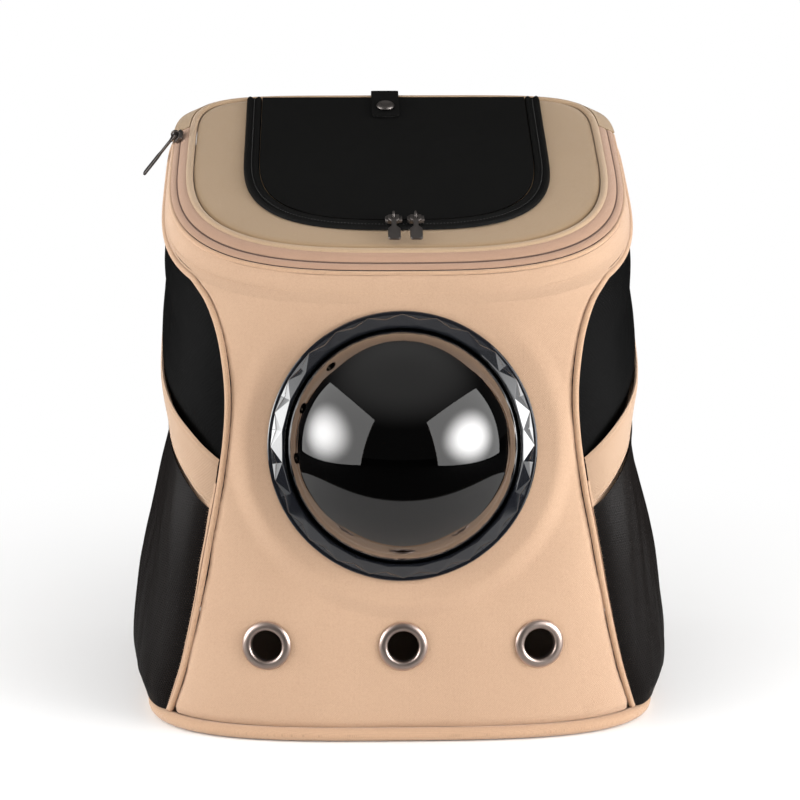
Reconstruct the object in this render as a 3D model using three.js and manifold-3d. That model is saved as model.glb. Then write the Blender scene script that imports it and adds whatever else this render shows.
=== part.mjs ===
// Bubble pet carrier backpack: a soft cloth case with a dark bubble window in its leaning front,
// three vents, mesh sides with pockets, and a sloping lid with a black flap.
// Millimetres, +Z up. The front faces -Y, and left is -X. The origin is the middle of the base.
import * as THREE from 'three';
import { mergeVertices } from 'three/addons/utils/BufferGeometryUtils.js';
import Module from 'manifold-3d';

const wasm = await Module();
wasm.setup();

// Clearance that neighbouring pieces keep
const gap = 0.3;

// Case
const baseHalfWidth = 163;
const baseFront = -130;
const baseCentre = -30;
const backPlane = 135;
const backBulge = 2;
const frontHeight = 290;
const frontLean = 44;
const rimCentre = 50;
const rimSlope = 0.386;
const clothThickness = 2.5;
const meshThickness = 1.2;
const backThickness = 6;
const baseThickness = 4;
const weltRadius = 4.2;
const weltInset = 0.6;
const seamPipingRadius = 2;
const seamClearance = 1.25;
const backSeamClearance = 1;

// Front panel
const waistHalfWidth = 110;
const footHalfWidth = 150;
const shoulderUp = 0.957;
const shoulderBackUp = 0.972;

// Bubble window
const windowHeight = 186;
const windowTilt = THREE.MathUtils.degToRad(12.3);
const bubbleRadius = 73.2;
const bubbleHeight = 58;
const bubbleThickness = 2.5;
const airHoleRadius = 3.6;
const airHoleUp = 0.31;
const airHoleMiddle = THREE.MathUtils.degToRad(159);
const airHoleStep = THREE.MathUtils.degToRad(27);
const gripRadius = 82.6;
const gripHeight = 11.5;
const gripFacets = 24;
const flangeOverlap = 2;
const flangeRadius = gripRadius + flangeOverlap;
const flangeThickness = 3;
const collarDepth = 2.4;
const flatMargin = 12;
const flatBlend = 14;

// Vents
const ventCount = 3;
const ventSpacing = 86;
const ventHeight = 61;
const ventRadius = 15.6;
const ventBore = 9.7;
const ventRoll = 2.2;

// Side pockets
const pocketUp = 0.513;
const hemBottomUp = 0.518;
const hemTopUp = 0.62;
const meshStartUp = 0.57;
const hemRise = 0.16;
const pocketBulge = 13;
const hemStandOff = 5.6;
const hemThickness = 2;
const pocketClearance = 0.7;

// Lid and its zip
const lidPipingRadius = 2.3;
const lidPipingInset = 14.4;
const lidPipingLift = 7.6;
const lidThickness = 5;
const tapeThickness = 1;
const coilRadius = 1.2;
const coilInset = 7.4;
const rimPipingRadius = 1.6;
const zipEndAngle = THREE.MathUtils.degToRad(105);

// Flap over the lid
const flapHalfWidth = 102;
const flapFront = -51;
const flapCentre = 45;
const flapBack = 123;
const flapSquare = 3;
const flapThickness = 1.6;
const flapBindingWidth = 10.4;
const flapRidge = 1.2;

// Snap tab
const tabOffset = -6;
const tabWidth = 19;
const tabFront = 93;
const tabThickness = 1.6;
const snapRadius = 6.2;
const snapHeight = 2.6;

// Zip sliders and their pulls
const sliderLength = 11;
const sliderWidth = 7.2;
const sliderPlate = 2.6;
const wireRadius = 0.8;
const archRadius = 2.6;
const pivotLift = 1.4;
const pullWidth = 7;
const pullThickness = 1.5;
const mainPullLength = 38;
const flapPullLength = 27;
const mainZipAngle = THREE.MathUtils.degToRad(-101);
const flapSliderOffset = 7;
const flapZipMiddle = 3;
const mainSliderTilt = THREE.MathUtils.degToRad(25);
const mainSliderSeat = 2.4;
const mainPullRest = THREE.MathUtils.degToRad(-2);
const flapPullRest = THREE.MathUtils.degToRad(-4);

// Straps and haul loop
const webbingThickness = 1.6;
const webbingWidth = 25;
const padWidth = 56;
const padThickness = 10;
const adjusterWidth = 33;
const adjusterHeight = 24;
const adjusterThickness = 3;
const strapReach = 55;
const anchorLow = 12;
const anchorHigh = 44;
const anchorWidth = 37;
const anchorThickness = 2.4;
const haulDrop = 34;
const haulRise = 8;
const haulSpan = 54;
const haulReach = 24;
const haulWidth = 22;

const beige = 0xd3b391;
const olive = 0xae9672;
const tapeBrown = 0xb58f78;
const black = 0x161617;
const meshBlack = 0x1d1b1c;
const gunmetal = 0x4d4b4c;
const smoke = 0x241c18;

// Plan sections of the case from the base (up 0) to the rim (up 1).
// half: share of baseHalfWidth. lean: share of frontLean. shift: share of the way from
// baseCentre to rimCentre. front and back: how square the plan is there.
const sections = [
  { up: 0.0, half: 1.0, lean: 0.0, shift: 0.0, front: 3.2, back: 9 },
  { up: 0.12, half: 0.995, lean: 0.03, shift: 0.05, front: 3.3, back: 9 },
  { up: 0.3, half: 0.963, lean: 0.12, shift: 0.14, front: 3.6, back: 9 },
  { up: 0.45, half: 0.928, lean: 0.27, shift: 0.25, front: 4.4, back: 8 },
  { up: 0.58, half: 0.895, lean: 0.415, shift: 0.37, front: 4.8, back: 8 },
  { up: 0.64, half: 0.905, lean: 0.49, shift: 0.45, front: 4.8, back: 8 },
  { up: 0.73, half: 0.945, lean: 0.6, shift: 0.58, front: 4.5, back: 7 },
  { up: 0.83, half: 0.94, lean: 0.735, shift: 0.73, front: 4.0, back: 7 },
  { up: 0.92, half: 0.938, lean: 0.87, shift: 0.88, front: 3.4, back: 6 },
  { up: 0.957, half: 0.95, lean: 0.93, shift: 0.94, front: 3.2, back: 6 },
  { up: 1.0, half: 0.9325, lean: 1.0, shift: 1.0, front: 3.1, back: 6 },
];

// Half width of the front panel. spread: share of the way from the waist to the foot.
const frontEdge = [
  { up: 0.03, spread: 1.0 },
  { up: 0.15, spread: 0.74 },
  { up: 0.3, spread: 0.5 },
  { up: 0.44, spread: 0.31 },
  { up: 0.57, spread: 0.13 },
  { up: 0.68, spread: 0.02 },
  { up: 0.76, spread: 0.0 },
  { up: 0.83, spread: 0.06 },
  { up: 0.88, spread: 0.16 },
  { up: 0.92, spread: 0.33 },
  { up: 0.945, spread: 0.56 },
];

// How far the pocket stands off the side, as a share of pocketBulge.
const pocketSections = [
  { rise: 0.0, bulge: 0.3 },
  { rise: 0.1, bulge: 0.95 },
  { rise: 0.3, bulge: 1.0 },
  { rise: 0.62, bulge: 0.8 },
  { rise: 0.86, bulge: 0.64 },
  { rise: 1.0, bulge: 0.5 },
];

// Value of one column of a table at a share, eased through its rows.
function column(table, key, at, value) {
  const last = table.length - 1;
  let row = 0;
  while (row < last - 1 && value > table[row + 1][at]) row += 1;
  const slope = (k) => {
    const low = table[Math.max(k - 1, 0)];
    const high = table[Math.min(k + 1, last)];
    return (high[key] - low[key]) / (high[at] - low[at]);
  };
  const from = table[row];
  const to = table[row + 1];
  const span = to[at] - from[at];
  const t = THREE.MathUtils.clamp((value - from[at]) / span, 0, 1);
  const bend = t * t * (3 - 2 * t);
  const rising = t * (1 - t) * (1 - t) * slope(row);
  const falling = t * t * (1 - t) * slope(row + 1);
  return from[key] + (to[key] - from[key]) * bend + (rising - falling) * span;
}

// Plan outline of the case at a share of its height, moved outward by a distance.
function section(up, outward = 0) {
  return {
    half: baseHalfWidth * column(sections, 'half', 'up', up) + outward,
    front: baseFront + frontLean * column(sections, 'lean', 'up', up) - outward,
    back: backPlane + backBulge + outward,
    centre: THREE.MathUtils.lerp(baseCentre, rimCentre, column(sections, 'shift', 'up', up)),
    frontSquare: column(sections, 'front', 'up', up),
    backSquare: column(sections, 'back', 'up', up),
  };
}

// Point of an outline at an angle from straight ahead, turning to the right.
function outlinePoint(outline, angle) {
  const across = Math.abs(Math.sin(angle));
  const along = Math.cos(angle);
  const ahead = along > 0;
  const depth = ahead ? outline.centre - outline.front : outline.back - outline.centre;
  const square = ahead ? outline.frontSquare : outline.backSquare;
  const reach = ((across / outline.half) ** square + (Math.abs(along) / depth) ** square) ** (-1 / square);
  return { x: reach * Math.sin(angle), y: outline.centre - reach * along };
}

const rimFront = section(1).front;

function rimHeight(y) {
  return frontHeight + rimSlope * (y - rimFront);
}

const windowNormal = new THREE.Vector3(0, -Math.cos(windowTilt), Math.sin(windowTilt));

// Point on the case wall before the bubble window flattens it.
function looseWall(up, angle, outward = 0) {
  const plan = outlinePoint(section(up, outward), angle);
  const y = Math.min(plan.y, backPlane + outward);
  return new THREE.Vector3(plan.x, y, up * rimHeight(y));
}

// Share of the height at which the wall has a given height at an angle.
function upAtHeight(height, angle) {
  let low = 0;
  let high = 1;
  for (let step = 0; step < 30; step += 1) {
    const middle = (low + high) / 2;
    if (looseWall(middle, angle).z < height) low = middle;
    else high = middle;
  }
  return low;
}

const windowCentre = looseWall(upAtHeight(windowHeight, 0), 0);

// Point on the case wall, flat under the bubble window's flange.
function wall(up, angle, outward = 0) {
  const point = looseWall(up, angle, outward);
  if (point.y > 0) return point;
  const from = point.clone().sub(windowCentre);
  const height = from.dot(windowNormal);
  const radius = Math.sqrt(Math.max(from.lengthSq() - height * height, 0));
  const start = flangeRadius + flatMargin;
  const flat = 1 - THREE.MathUtils.smoothstep(radius, start, start + flatBlend);
  return point.addScaledVector(windowNormal, (outward - height) * flat);
}

function backSeamAngle(up) {
  const plan = section(up);
  return Math.PI - Math.atan2(plan.half, plan.back - plan.centre);
}

// Angle at which the wall has a given half width on its front side.
function angleAtWidth(up, halfWidth) {
  let low = 0;
  let high = Math.PI / 2;
  for (let step = 0; step < 30; step += 1) {
    const middle = (low + high) / 2;
    if (looseWall(up, middle).x < halfWidth) low = middle;
    else high = middle;
  }
  return low;
}

const footUp = (2 * weltRadius + gap) / frontHeight;
const pipingFootUp = footUp + 0.8 / frontHeight;
const riseRows = 13;
const shoulderRows = 5;

// The seam beside the front panel rises from the foot, then turns back over the side.
function seamPlace(row) {
  const topRow = frontEdge[frontEdge.length - 1];
  if (row <= riseRows) {
    const up = THREE.MathUtils.lerp(footUp, topRow.up, row / riseRows);
    const spread = column(frontEdge, 'spread', 'up', up);
    return { up, angle: angleAtWidth(up, THREE.MathUtils.lerp(waistHalfWidth, footHalfWidth, spread)) };
  }
  const share = (row - riseRows) / shoulderRows;
  const start = seamPlace(riseRows).angle;
  const ease = Math.sin((share * Math.PI) / 2);
  const level = share < 0.34
    ? THREE.MathUtils.lerp(topRow.up, shoulderUp, share / 0.34)
    : THREE.MathUtils.lerp(shoulderUp, shoulderBackUp, (share - 0.34) / 0.66);
  const end = backSeamAngle(shoulderBackUp) - backSeamClearance / baseHalfWidth;
  return { up: level, angle: THREE.MathUtils.lerp(start, end, (share + ease * 0.25) / 1.25) };
}

const seamRows = riseRows + shoulderRows;

// The seam's place moved sideways along the wall, outward from the front panel.
function seamBeside(row, distance) {
  const here = seamPlace(row);
  const before = seamPlace(Math.max(row - 0.5, 0));
  const after = seamPlace(Math.min(row + 0.5, seamRows));
  const step = 0.001;
  const at = looseWall(here.up, here.angle);
  const alongAngle = looseWall(here.up, here.angle + step).distanceTo(at) / step;
  const alongUp = looseWall(here.up + step, here.angle).distanceTo(at) / step;
  const turn = new THREE.Vector2((after.angle - before.angle) * alongAngle, (after.up - before.up) * alongUp);
  turn.normalize();
  return {
    up: Math.max(here.up - (turn.x * distance) / alongUp, footUp),
    angle: here.angle + (turn.y * distance) / alongAngle,
  };
}

// A closed body through rings of as many points each. Its ends are closed by pairing each
// point of the end ring with its mirror in the list.
function loft(rings, closed = false) {
  const size = rings[0].length;
  const position = rings.flatMap((ring) => ring.flatMap((point) => [point.x, point.y, point.z]));
  const index = [];
  const spans = closed ? rings.length : rings.length - 1;
  for (let k = 0; k < spans; k += 1) {
    const low = k * size;
    const high = ((k + 1) % rings.length) * size;
    for (let i = 0; i < size; i += 1) {
      const next = (i + 1) % size;
      index.push(low + i, low + next, high + next, low + i, high + next, high + i);
    }
  }
  if (!closed) {
    const top = (rings.length - 1) * size;
    for (let i = 0; i < Math.floor(size / 2) - (size % 2 ? 0 : 1); i += 1) {
      const far = size - 1 - i;
      index.push(i, far, i + 1, top + i, top + i + 1, top + far);
      if (far - 1 > i + 1) {
        index.push(i + 1, far, far - 1, top + i + 1, top + far - 1, top + far);
      }
    }
  }
  return facingOut(position, index);
}

// Geometry whose faces point out whichever way round its rings were given.
function facingOut(position, index) {
  let volume = 0;
  const a = new THREE.Vector3();
  const b = new THREE.Vector3();
  const c = new THREE.Vector3();
  for (let i = 0; i < index.length; i += 3) {
    a.fromArray(position, 3 * index[i]);
    b.fromArray(position, 3 * index[i + 1]);
    c.fromArray(position, 3 * index[i + 2]);
    volume += a.dot(b.cross(c));
  }
  const geometry = new THREE.BufferGeometry();
  geometry.setAttribute('position', new THREE.Float32BufferAttribute(position, 3));
  const outward = [];
  for (let i = 0; i < index.length; i += 3) {
    outward.push(index[i], ...(volume > 0 ? [index[i + 1], index[i + 2]] : [index[i + 2], index[i + 1]]));
  }
  geometry.setIndex(outward);
  return geometry;
}

// Cloth between two skins. place gives up and angle at a row and column share, and
// skin gives the outer skin's stand-off there.
function cloth(rows, columns, thickness, place, skin = () => 0) {
  const rings = [];
  for (let r = 0; r <= rows; r += 1) {
    const outer = [];
    const inner = [];
    for (let c = 0; c <= columns; c += 1) {
      const { up, angle } = place(r, c / columns);
      const standOff = skin(r, c / columns);
      outer.push(wall(up, angle, standOff));
      inner.unshift(wall(up, angle, standOff - thickness));
    }
    rings.push([...outer, ...inner]);
  }
  return loft(rings);
}

// Round bar along points, with its ring turned from one point to the next without twist.
function bar(points, radius, sides, closed = false) {
  const count = points.length;
  const tangents = points.map((point, k) => {
    const before = points[closed ? (k + count - 1) % count : Math.max(k - 1, 0)];
    const after = points[closed ? (k + 1) % count : Math.min(k + 1, count - 1)];
    return after.clone().sub(before).normalize();
  });
  const side = new THREE.Vector3(0, 0, 1);
  if (Math.abs(tangents[0].z) > 0.8) side.set(0, 1, 0);
  const rings = points.map((point, k) => {
    side.addScaledVector(tangents[k], -side.dot(tangents[k])).normalize();
    const other = tangents[k].clone().cross(side);
    return Array.from({ length: sides }, (_, i) => {
      const turn = (2 * Math.PI * (i + 0.5)) / sides;
      return point.clone()
        .addScaledVector(side, radius * Math.cos(turn))
        .addScaledVector(other, radius * Math.sin(turn));
    });
  });
  return loft(rings, closed);
}

// Flat band along points: width lies along the direction across, and profile holds
// the section's half as shares of half width and half thickness.
function band(points, width, thickness, across, profile = [[1, -1], [1, 1]]) {
  const last = points.length - 1;
  const rings = points.map((point, k) => {
    const tangent = points[Math.min(k + 1, last)].clone().sub(points[Math.max(k - 1, 0)]).normalize();
    const side = (typeof across === 'function' ? across(k / last) : across).clone();
    side.addScaledVector(tangent, -side.dot(tangent)).normalize();
    const up = side.clone().cross(tangent);
    const w = typeof width === 'function' ? width(k / last) : width;
    const t = typeof thickness === 'function' ? thickness(k / last) : thickness;
    const right = profile.map(([x, y]) => [x, y]);
    const left = profile.map(([x, y]) => [-x, y]).reverse();
    return [...right, ...left].map(([x, y]) => point.clone()
      .addScaledVector(side, (x * w) / 2)
      .addScaledVector(up, (y * t) / 2));
  });
  return loft(rings);
}

// Ring or cap turned about local Z from a profile of radius and height, closed on itself
// or with both ends on the axis.
function turned(profile, sides) {
  const points = profile.map(([radius, height]) => new THREE.Vector2(radius, height));
  const geometry = new THREE.LatheGeometry(points, sides);
  geometry.rotateX(Math.PI / 2);
  return bare(geometry);
}

// Geometry with its shared corners merged and only its positions kept.
function bare(geometry) {
  geometry.deleteAttribute('normal');
  geometry.deleteAttribute('uv');
  const merged = mergeVertices(geometry, 1e-4);
  const position = Array.from(merged.attributes.position.array);
  const index = [];
  const all = Array.from(merged.index.array);
  for (let i = 0; i < all.length; i += 3) {
    const [a, b, c] = all.slice(i, i + 3);
    if (a !== b && b !== c && c !== a) index.push(a, b, c);
  }
  return facingOut(position, index);
}

function solid(geometry) {
  return new wasm.Manifold(new wasm.Mesh({
    numProp: 3,
    vertProperties: new Float32Array(geometry.attributes.position.array),
    triVerts: new Uint32Array(geometry.index.array),
  }));
}

function shape(body) {
  const mesh = body.getMesh();
  const position = [];
  for (let i = 0; i < mesh.vertProperties.length; i += mesh.numProp) {
    position.push(...mesh.vertProperties.slice(i, i + 3));
  }
  return facingOut(position, Array.from(mesh.triVerts));
}

function finish(color, roughness, metalness = 0) {
  return new THREE.MeshStandardMaterial({ color, roughness, metalness });
}

const canvasCloth = () => finish(beige, 0.85);
const lidCloth = () => finish(olive, 0.85);
const zipTape = () => finish(tapeBrown, 0.8);
const blackCloth = () => finish(black, 0.8);
const blackMesh = () => finish(meshBlack, 0.75);
const darkMetal = () => finish(gunmetal, 0.3, 0.9);
const blackPlastic = () => finish(black, 0.2);

const carrier = new THREE.Group();

function add(name, geometry, material, parent = carrier) {
  const mesh = new THREE.Mesh(geometry, material);
  mesh.name = name;
  parent.add(mesh);
  return mesh;
}

const mirrored = (points) => points.map((p) => new THREE.Vector3(-p.x, p.y, p.z));

// The same geometry on the left side, with its faces still pointing out.
function onLeft(geometry) {
  const copy = geometry.clone();
  copy.scale(-1, 1, 1);
  return facingOut(Array.from(copy.attributes.position.array), Array.from(copy.index.array));
}

function addPair(name, geometry, material) {
  add(`right_${name}`, geometry, material());
  add(`left_${name}`, onLeft(geometry), material());
}

// Base and its welt
const aroundCount = 36;
const aroundAngles = Array.from({ length: aroundCount }, (_, k) => (2 * Math.PI * (k + 0.5)) / aroundCount);

function baseOutline(outward, height) {
  return aroundAngles.map((angle) => {
    const point = outlinePoint(section(0, outward), angle);
    return new THREE.Vector3(point.x, Math.min(point.y, backPlane + outward), height);
  });
}

function addBase() {
  const inset = -(weltInset + weltRadius + gap);
  add('base_panel', loft([baseOutline(inset, 0), baseOutline(inset, baseThickness)]), canvasCloth());
  add('base_welt', bar(baseOutline(-weltInset, weltRadius), weltRadius, 6, true), canvasCloth());
}

// Frame of a fitting on the front panel: Z along the panel's outward normal.
function fittingGroup(centre, normal) {
  const group = new THREE.Group();
  group.position.copy(centre);
  const side = new THREE.Vector3(0, 0, 1).cross(normal).normalize();
  const upward = normal.clone().cross(side);
  group.quaternion.setFromRotationMatrix(new THREE.Matrix4().makeBasis(side, upward, normal));
  group.updateMatrixWorld(true);
  return group;
}

function ventPlace(k) {
  const x = (k - (ventCount - 1) / 2) * ventSpacing;
  let up = ventHeight / frontHeight;
  let angle = 0;
  for (let pass = 0; pass < 4; pass += 1) {
    angle = Math.sign(x) * angleAtWidth(up, Math.abs(x));
    up = upAtHeight(ventHeight, angle);
  }
  const centre = wall(up, angle);
  const step = 0.01;
  const across = wall(up, angle + step).sub(wall(up, angle - step));
  const upward = wall(up + step, angle).sub(wall(up - step, angle));
  return { centre, normal: across.cross(upward).normalize() };
}

const cutReach = 12;

// Hole through the cloth for a fitting's neck.
function fittingHole(group, neck, sides) {
  const edge = neck + gap;
  const cut = turned([[0, -cutReach], [edge, -cutReach], [edge, cutReach], [0, cutReach]], sides);
  return solid(cut.applyMatrix4(group.matrixWorld));
}

// Room for the two flanges of a fitting that is pressed into the cloth.
function flangeRoom(group, flange, sides) {
  const reach = cutReach;
  const skin = gap;
  const parts = [
    turned([[0, -skin], [flange + gap, -skin], [flange + gap, reach], [0, reach]], sides),
    turned([[0, -reach], [flange + gap, -reach], [flange + gap, skin - clothThickness],
      [0, skin - clothThickness]], sides),
  ];
  return parts.map((part) => solid(part.applyMatrix4(group.matrixWorld)));
}

const windowGroup = fittingGroup(windowCentre, windowNormal);
const ventGroups = Array.from({ length: ventCount }, (_, k) => {
  const { centre, normal } = ventPlace(k);
  return fittingGroup(centre, normal);
});
const collarRadius = bubbleRadius - bubbleThickness;

function addFrontPanel() {
  const rimRows = 2;
  const columns = 18;
  const edge = -(seamPipingRadius + seamClearance);
  const place = (row, share) => {
    const side = 2 * share - 1;
    if (row <= seamRows) {
      const nominal = seamPlace(row).up;
      const limit = seamBeside(row, edge);
      const up = THREE.MathUtils.lerp(nominal, limit.up, Math.abs(side) ** 3);
      return { up, angle: side * limit.angle };
    }
    const last = seamBeside(seamRows, edge).up;
    const up = THREE.MathUtils.lerp(last, 1, (row - seamRows) / rimRows);
    return { up, angle: side * (backSeamAngle(up) - backSeamClearance / baseHalfWidth) };
  };
  let panel = solid(cloth(seamRows + rimRows, columns, clothThickness, place));
  const rooms = [
    fittingHole(windowGroup, collarRadius + collarDepth, 32),
    ...ventGroups.map((group) => fittingHole(group, ventBore + ventRoll, 12)),
    ...ventGroups.flatMap((group) => flangeRoom(group, ventRadius, 12)),
  ];
  for (const room of rooms) panel = panel.subtract(room);
  add('front_panel', shape(panel), canvasCloth());
}

function addSeamPiping() {
  const points = Array.from({ length: seamRows + 1 }, (_, row) => {
    const { up, angle } = seamPlace(row);
    return wall(Math.max(up, pipingFootUp), angle, -0.6);
  });
  addPair('front_piping', bar(points, seamPipingRadius, 6), canvasCloth);
}

// Place on the side between the front seam (share 0) and the back seam (share 1).
function sidePlace(up, share) {
  const rise = ((up - footUp) / (shoulderUp - footUp)) * riseRows;
  const edge = seamBeside(Math.min(rise, riseRows), seamPipingRadius + seamClearance);
  const end = backSeamAngle(up) - backSeamClearance / baseHalfWidth;
  return { up, angle: THREE.MathUtils.lerp(edge.angle, end, share) };
}

// The hem climbs steeply from the front seam, then levels out towards the back.
const hemLift = (share) => hemRise * (1 - (1 - share) ** 5);

// The mesh's front edge keeps beside the seam, and its top edge follows it over the shoulder.
function meshPlace(rise, share) {
  const rows = riseRows + (seamRows - riseRows) * share;
  const top = seamBeside(rows, seamPipingRadius + seamClearance);
  const start = sidePlace(meshStartUp + hemLift(share), share);
  const up = THREE.MathUtils.lerp(start.up, top.up, rise);
  const side = sidePlace(Math.min(up, frontEdge[frontEdge.length - 1].up - 0.005), share);
  const late = THREE.MathUtils.lerp(0.72, 0.6, share);
  const angle = THREE.MathUtils.lerp(side.angle, top.angle, THREE.MathUtils.smoothstep(rise, late, 1));
  return { up, angle };
}

function addSides() {
  const columns = 9;
  const meshRows = 6;
  addPair('side_mesh', cloth(meshRows, columns, meshThickness, (r, c) => meshPlace(r / meshRows, c)), blackMesh);
  const wallRows = 5;
  const top = meshStartUp - 0.003;
  const lower = (r, c) => sidePlace(THREE.MathUtils.lerp(footUp, top + hemLift(c), r / wallRows), c);
  addPair('side_wall', cloth(wallRows, columns, clothThickness, lower), canvasCloth);
}

// How much of its bulge a pocket has from the front seam (0) to the back seam (1).
const pocketSwell = (share) => Math.sin(Math.PI * share) ** 0.6;

function addPockets() {
  const columns = 10;
  const rows = 6;
  const bottom = footUp + 0.002;
  const place = (r, c) => sidePlace(THREE.MathUtils.lerp(bottom, pocketUp + hemLift(c), r / rows), c);
  const skin = (r, c) => {
    const bulge = pocketBulge * column(pocketSections, 'bulge', 'rise', r / rows);
    return pocketClearance + meshThickness + bulge * pocketSwell(c);
  };
  addPair('pocket', cloth(rows, columns, meshThickness, place, skin), blackMesh);
  const hemRows = 2;
  const hemPlace = (r, c) => {
    return sidePlace(THREE.MathUtils.lerp(hemBottomUp, hemTopUp, r / hemRows) + hemLift(c), c);
  };
  const hemSkin = (r, c) => gap + hemThickness + hemStandOff * (1 - 0.18 * (r / hemRows)) * pocketSwell(c);
  addPair('pocket_hem', cloth(hemRows, columns, hemThickness, hemPlace, hemSkin), canvasCloth);
}

function addBackPanel() {
  const rows = 6;
  const columns = 10;
  const place = (r, c) => {
    const up = THREE.MathUtils.lerp(footUp, 1, r / rows);
    const start = backSeamAngle(up) + backSeamClearance / baseHalfWidth;
    return { up, angle: THREE.MathUtils.lerp(start, 2 * Math.PI - start, c) };
  };
  add('back_panel', cloth(rows, columns, backThickness, place), blackCloth());
}

// Outline of the lid's piping, moved outward by a distance.
function rimOutline(outward) {
  const edge = section(1, -lidPipingInset + outward);
  const back = backPlane - lidPipingRadius - 2 * gap - 3 + outward;
  return { ...edge, back };
}

// Point beside the rim: outward from the lid's piping, and lift above the rim's slope.
function rimPoint(angle, outward, lift) {
  const point = outlinePoint(rimOutline(outward), angle);
  return new THREE.Vector3(point.x, point.y, rimHeight(point.y) + lift);
}

// Lift of the slope between the case's edge and the lid's piping.
function tapeLift(outward) {
  return lidPipingLift * (1 - outward / lidPipingInset) + rimPipingRadius * 0.6;
}

function alongRim(count, from, to, make) {
  return Array.from({ length: count + 1 }, (_, k) => make(THREE.MathUtils.lerp(from, to, k / count)));
}

// Strip of zip tape between two distances from the lid's piping.
function tape(inner, outer, count) {
  return loft(alongRim(count, -zipEndAngle, zipEndAngle, (angle) => [
    rimPoint(angle, inner, tapeLift(inner)),
    rimPoint(angle, outer, tapeLift(outer)),
    rimPoint(angle, outer, tapeLift(outer) - tapeThickness),
    rimPoint(angle, inner, tapeLift(inner) - tapeThickness),
  ]));
}

function addLid() {
  const top = lidPipingLift + lidThickness / 2;
  const inset = lidPipingRadius + gap;
  const ring = (outward, lift) => aroundAngles.map((angle) => rimPoint(angle, outward, lift));
  const rings = [
    ring(-inset - 1.5, top - lidThickness),
    ring(-inset, top - lidThickness + 1),
    ring(-inset, top - 1.2),
    ring(-inset - 2.5, top),
  ];
  add('lid_panel', loft(rings), lidCloth());
  add('lid_piping', bar(ring(0, lidPipingLift), lidPipingRadius, 6, true), lidCloth());
}

function addZip() {
  const count = 22;
  const coilOut = lidPipingInset - coilInset;
  const rimOut = lidPipingInset - rimPipingRadius;
  const lidSide = tape(lidPipingRadius + gap, coilOut - coilRadius - gap, count);
  const caseSide = tape(coilOut + coilRadius + gap, rimOut - rimPipingRadius - gap, count);
  add('lid_zip_tape', lidSide, zipTape());
  add('case_zip_tape', caseSide, zipTape());
  const coil = alongRim(count, -zipEndAngle, zipEndAngle, (angle) => rimPoint(angle, coilOut, tapeLift(coilOut)));
  add('zip_coil', bar(coil, coilRadius, 5), zipTape());
  const edge = alongRim(count, -zipEndAngle, zipEndAngle,
    (angle) => rimPoint(angle, rimOut, rimPipingRadius + gap + 0.4));
  add('rim_piping', bar(edge, rimPipingRadius, 5), canvasCloth());
  // Behind the zip's ends a plain gusset joins the lid to the case.
  const start = zipEndAngle + 0.01;
  const gusset = alongRim(18, start, 2 * Math.PI - start, (angle) => {
    const inner = lidPipingRadius + 2 * gap;
    const outline = section(1, -gap);
    const edgePoint = outlinePoint(outline, angle);
    const y = Math.min(edgePoint.y, backPlane - gap);
    const low = new THREE.Vector3(edgePoint.x, y, rimHeight(y) + gap);
    return [
      rimPoint(angle, inner, lidPipingLift),
      low.clone().add(new THREE.Vector3(0, 0, tapeThickness)),
      low,
      rimPoint(angle, inner, lidPipingLift - 1.5 * tapeThickness),
    ];
  });
  add('lid_gusset', loft(gusset), lidCloth());
}

const lidTop = lidPipingLift + lidThickness / 2;

// Point of the flap's edge: share 0 is its front middle, 1 where its straight side starts
// and 2 its back corner.
function flapEdge(share, inset, lift) {
  const outline = {
    half: flapHalfWidth - inset,
    front: flapFront + inset,
    centre: flapCentre,
    back: flapBack,
    frontSquare: flapSquare,
    backSquare: flapSquare,
  };
  const size = Math.abs(share);
  const point = outlinePoint(outline, (Math.min(size, 1) * Math.PI) / 2);
  const y = size > 1 ? THREE.MathUtils.lerp(flapCentre, flapBack, size - 1) : point.y;
  return new THREE.Vector3(Math.sign(share) * point.x, y, rimHeight(y) + lidTop + lift);
}

function addFlap() {
  const half = 11;
  const shares = Array.from({ length: 2 * half }, (_, k) => ((k + 0.5 - half) * 2) / (half - 0.5));
  const inset = flapBindingWidth + gap;
  const ring = (lift) => shares.map((share) => flapEdge(share, inset, lift));
  add('lid_flap', loft([ring(gap), ring(gap + flapThickness)]), blackCloth());
  const low = gap;
  const high = gap + flapThickness;
  const width = flapBindingWidth;
  const binding = shares.map((share) => [
    flapEdge(share, 0, low),
    flapEdge(share, 0, high),
    flapEdge(share, width * 0.25, high + flapRidge),
    flapEdge(share, width * 0.5, high),
    flapEdge(share, width * 0.75, high + flapRidge),
    flapEdge(share, width, high),
    flapEdge(share, width, low),
    flapEdge(share, width / 2, low),
  ]);
  add('flap_binding', loft(binding), blackCloth());
}

function addSnapTab() {
  const clear = lidTop + gap + flapThickness + gap;
  const across = new THREE.Vector3(1, 0, 0);
  const at = (y, lift) => new THREE.Vector3(tabOffset, y, rimHeight(y) + lift);
  const middle = clear + tabThickness / 2;
  const edge = backPlane - 1.5;
  const path = [
    at(tabFront, middle), at(tabFront + 3, middle), at((tabFront + flapBack) / 2, middle),
    at(flapBack, middle), at(edge - 4, middle - 0.5), at(edge - 0.5, middle - 2.5),
    at(edge + 1.1, middle - 6), at(edge + 1.4, 5.2),
  ];
  const width = (share) => tabWidth * (share < 0.1 ? 0.8 : 1);
  add('snap_tab', band(path, width, tabThickness, across), blackCloth());
  const y = tabFront + snapRadius + 5;
  const normal = new THREE.Vector3(0, -rimSlope, 1).normalize();
  const group = fittingGroup(at(y, clear + tabThickness + 2 * gap), normal);
  const cap = [[0, 0], [snapRadius * 0.8, 0], [snapRadius, 0.7], [snapRadius * 0.92, 1.8],
    [snapRadius * 0.62, snapHeight], [snapRadius * 0.4, snapHeight - 0.6], [0, snapHeight - 0.8]];
  add('snap_cap', turned(cap, 10), darkMetal(), group);
  carrier.add(group);
}

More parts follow.
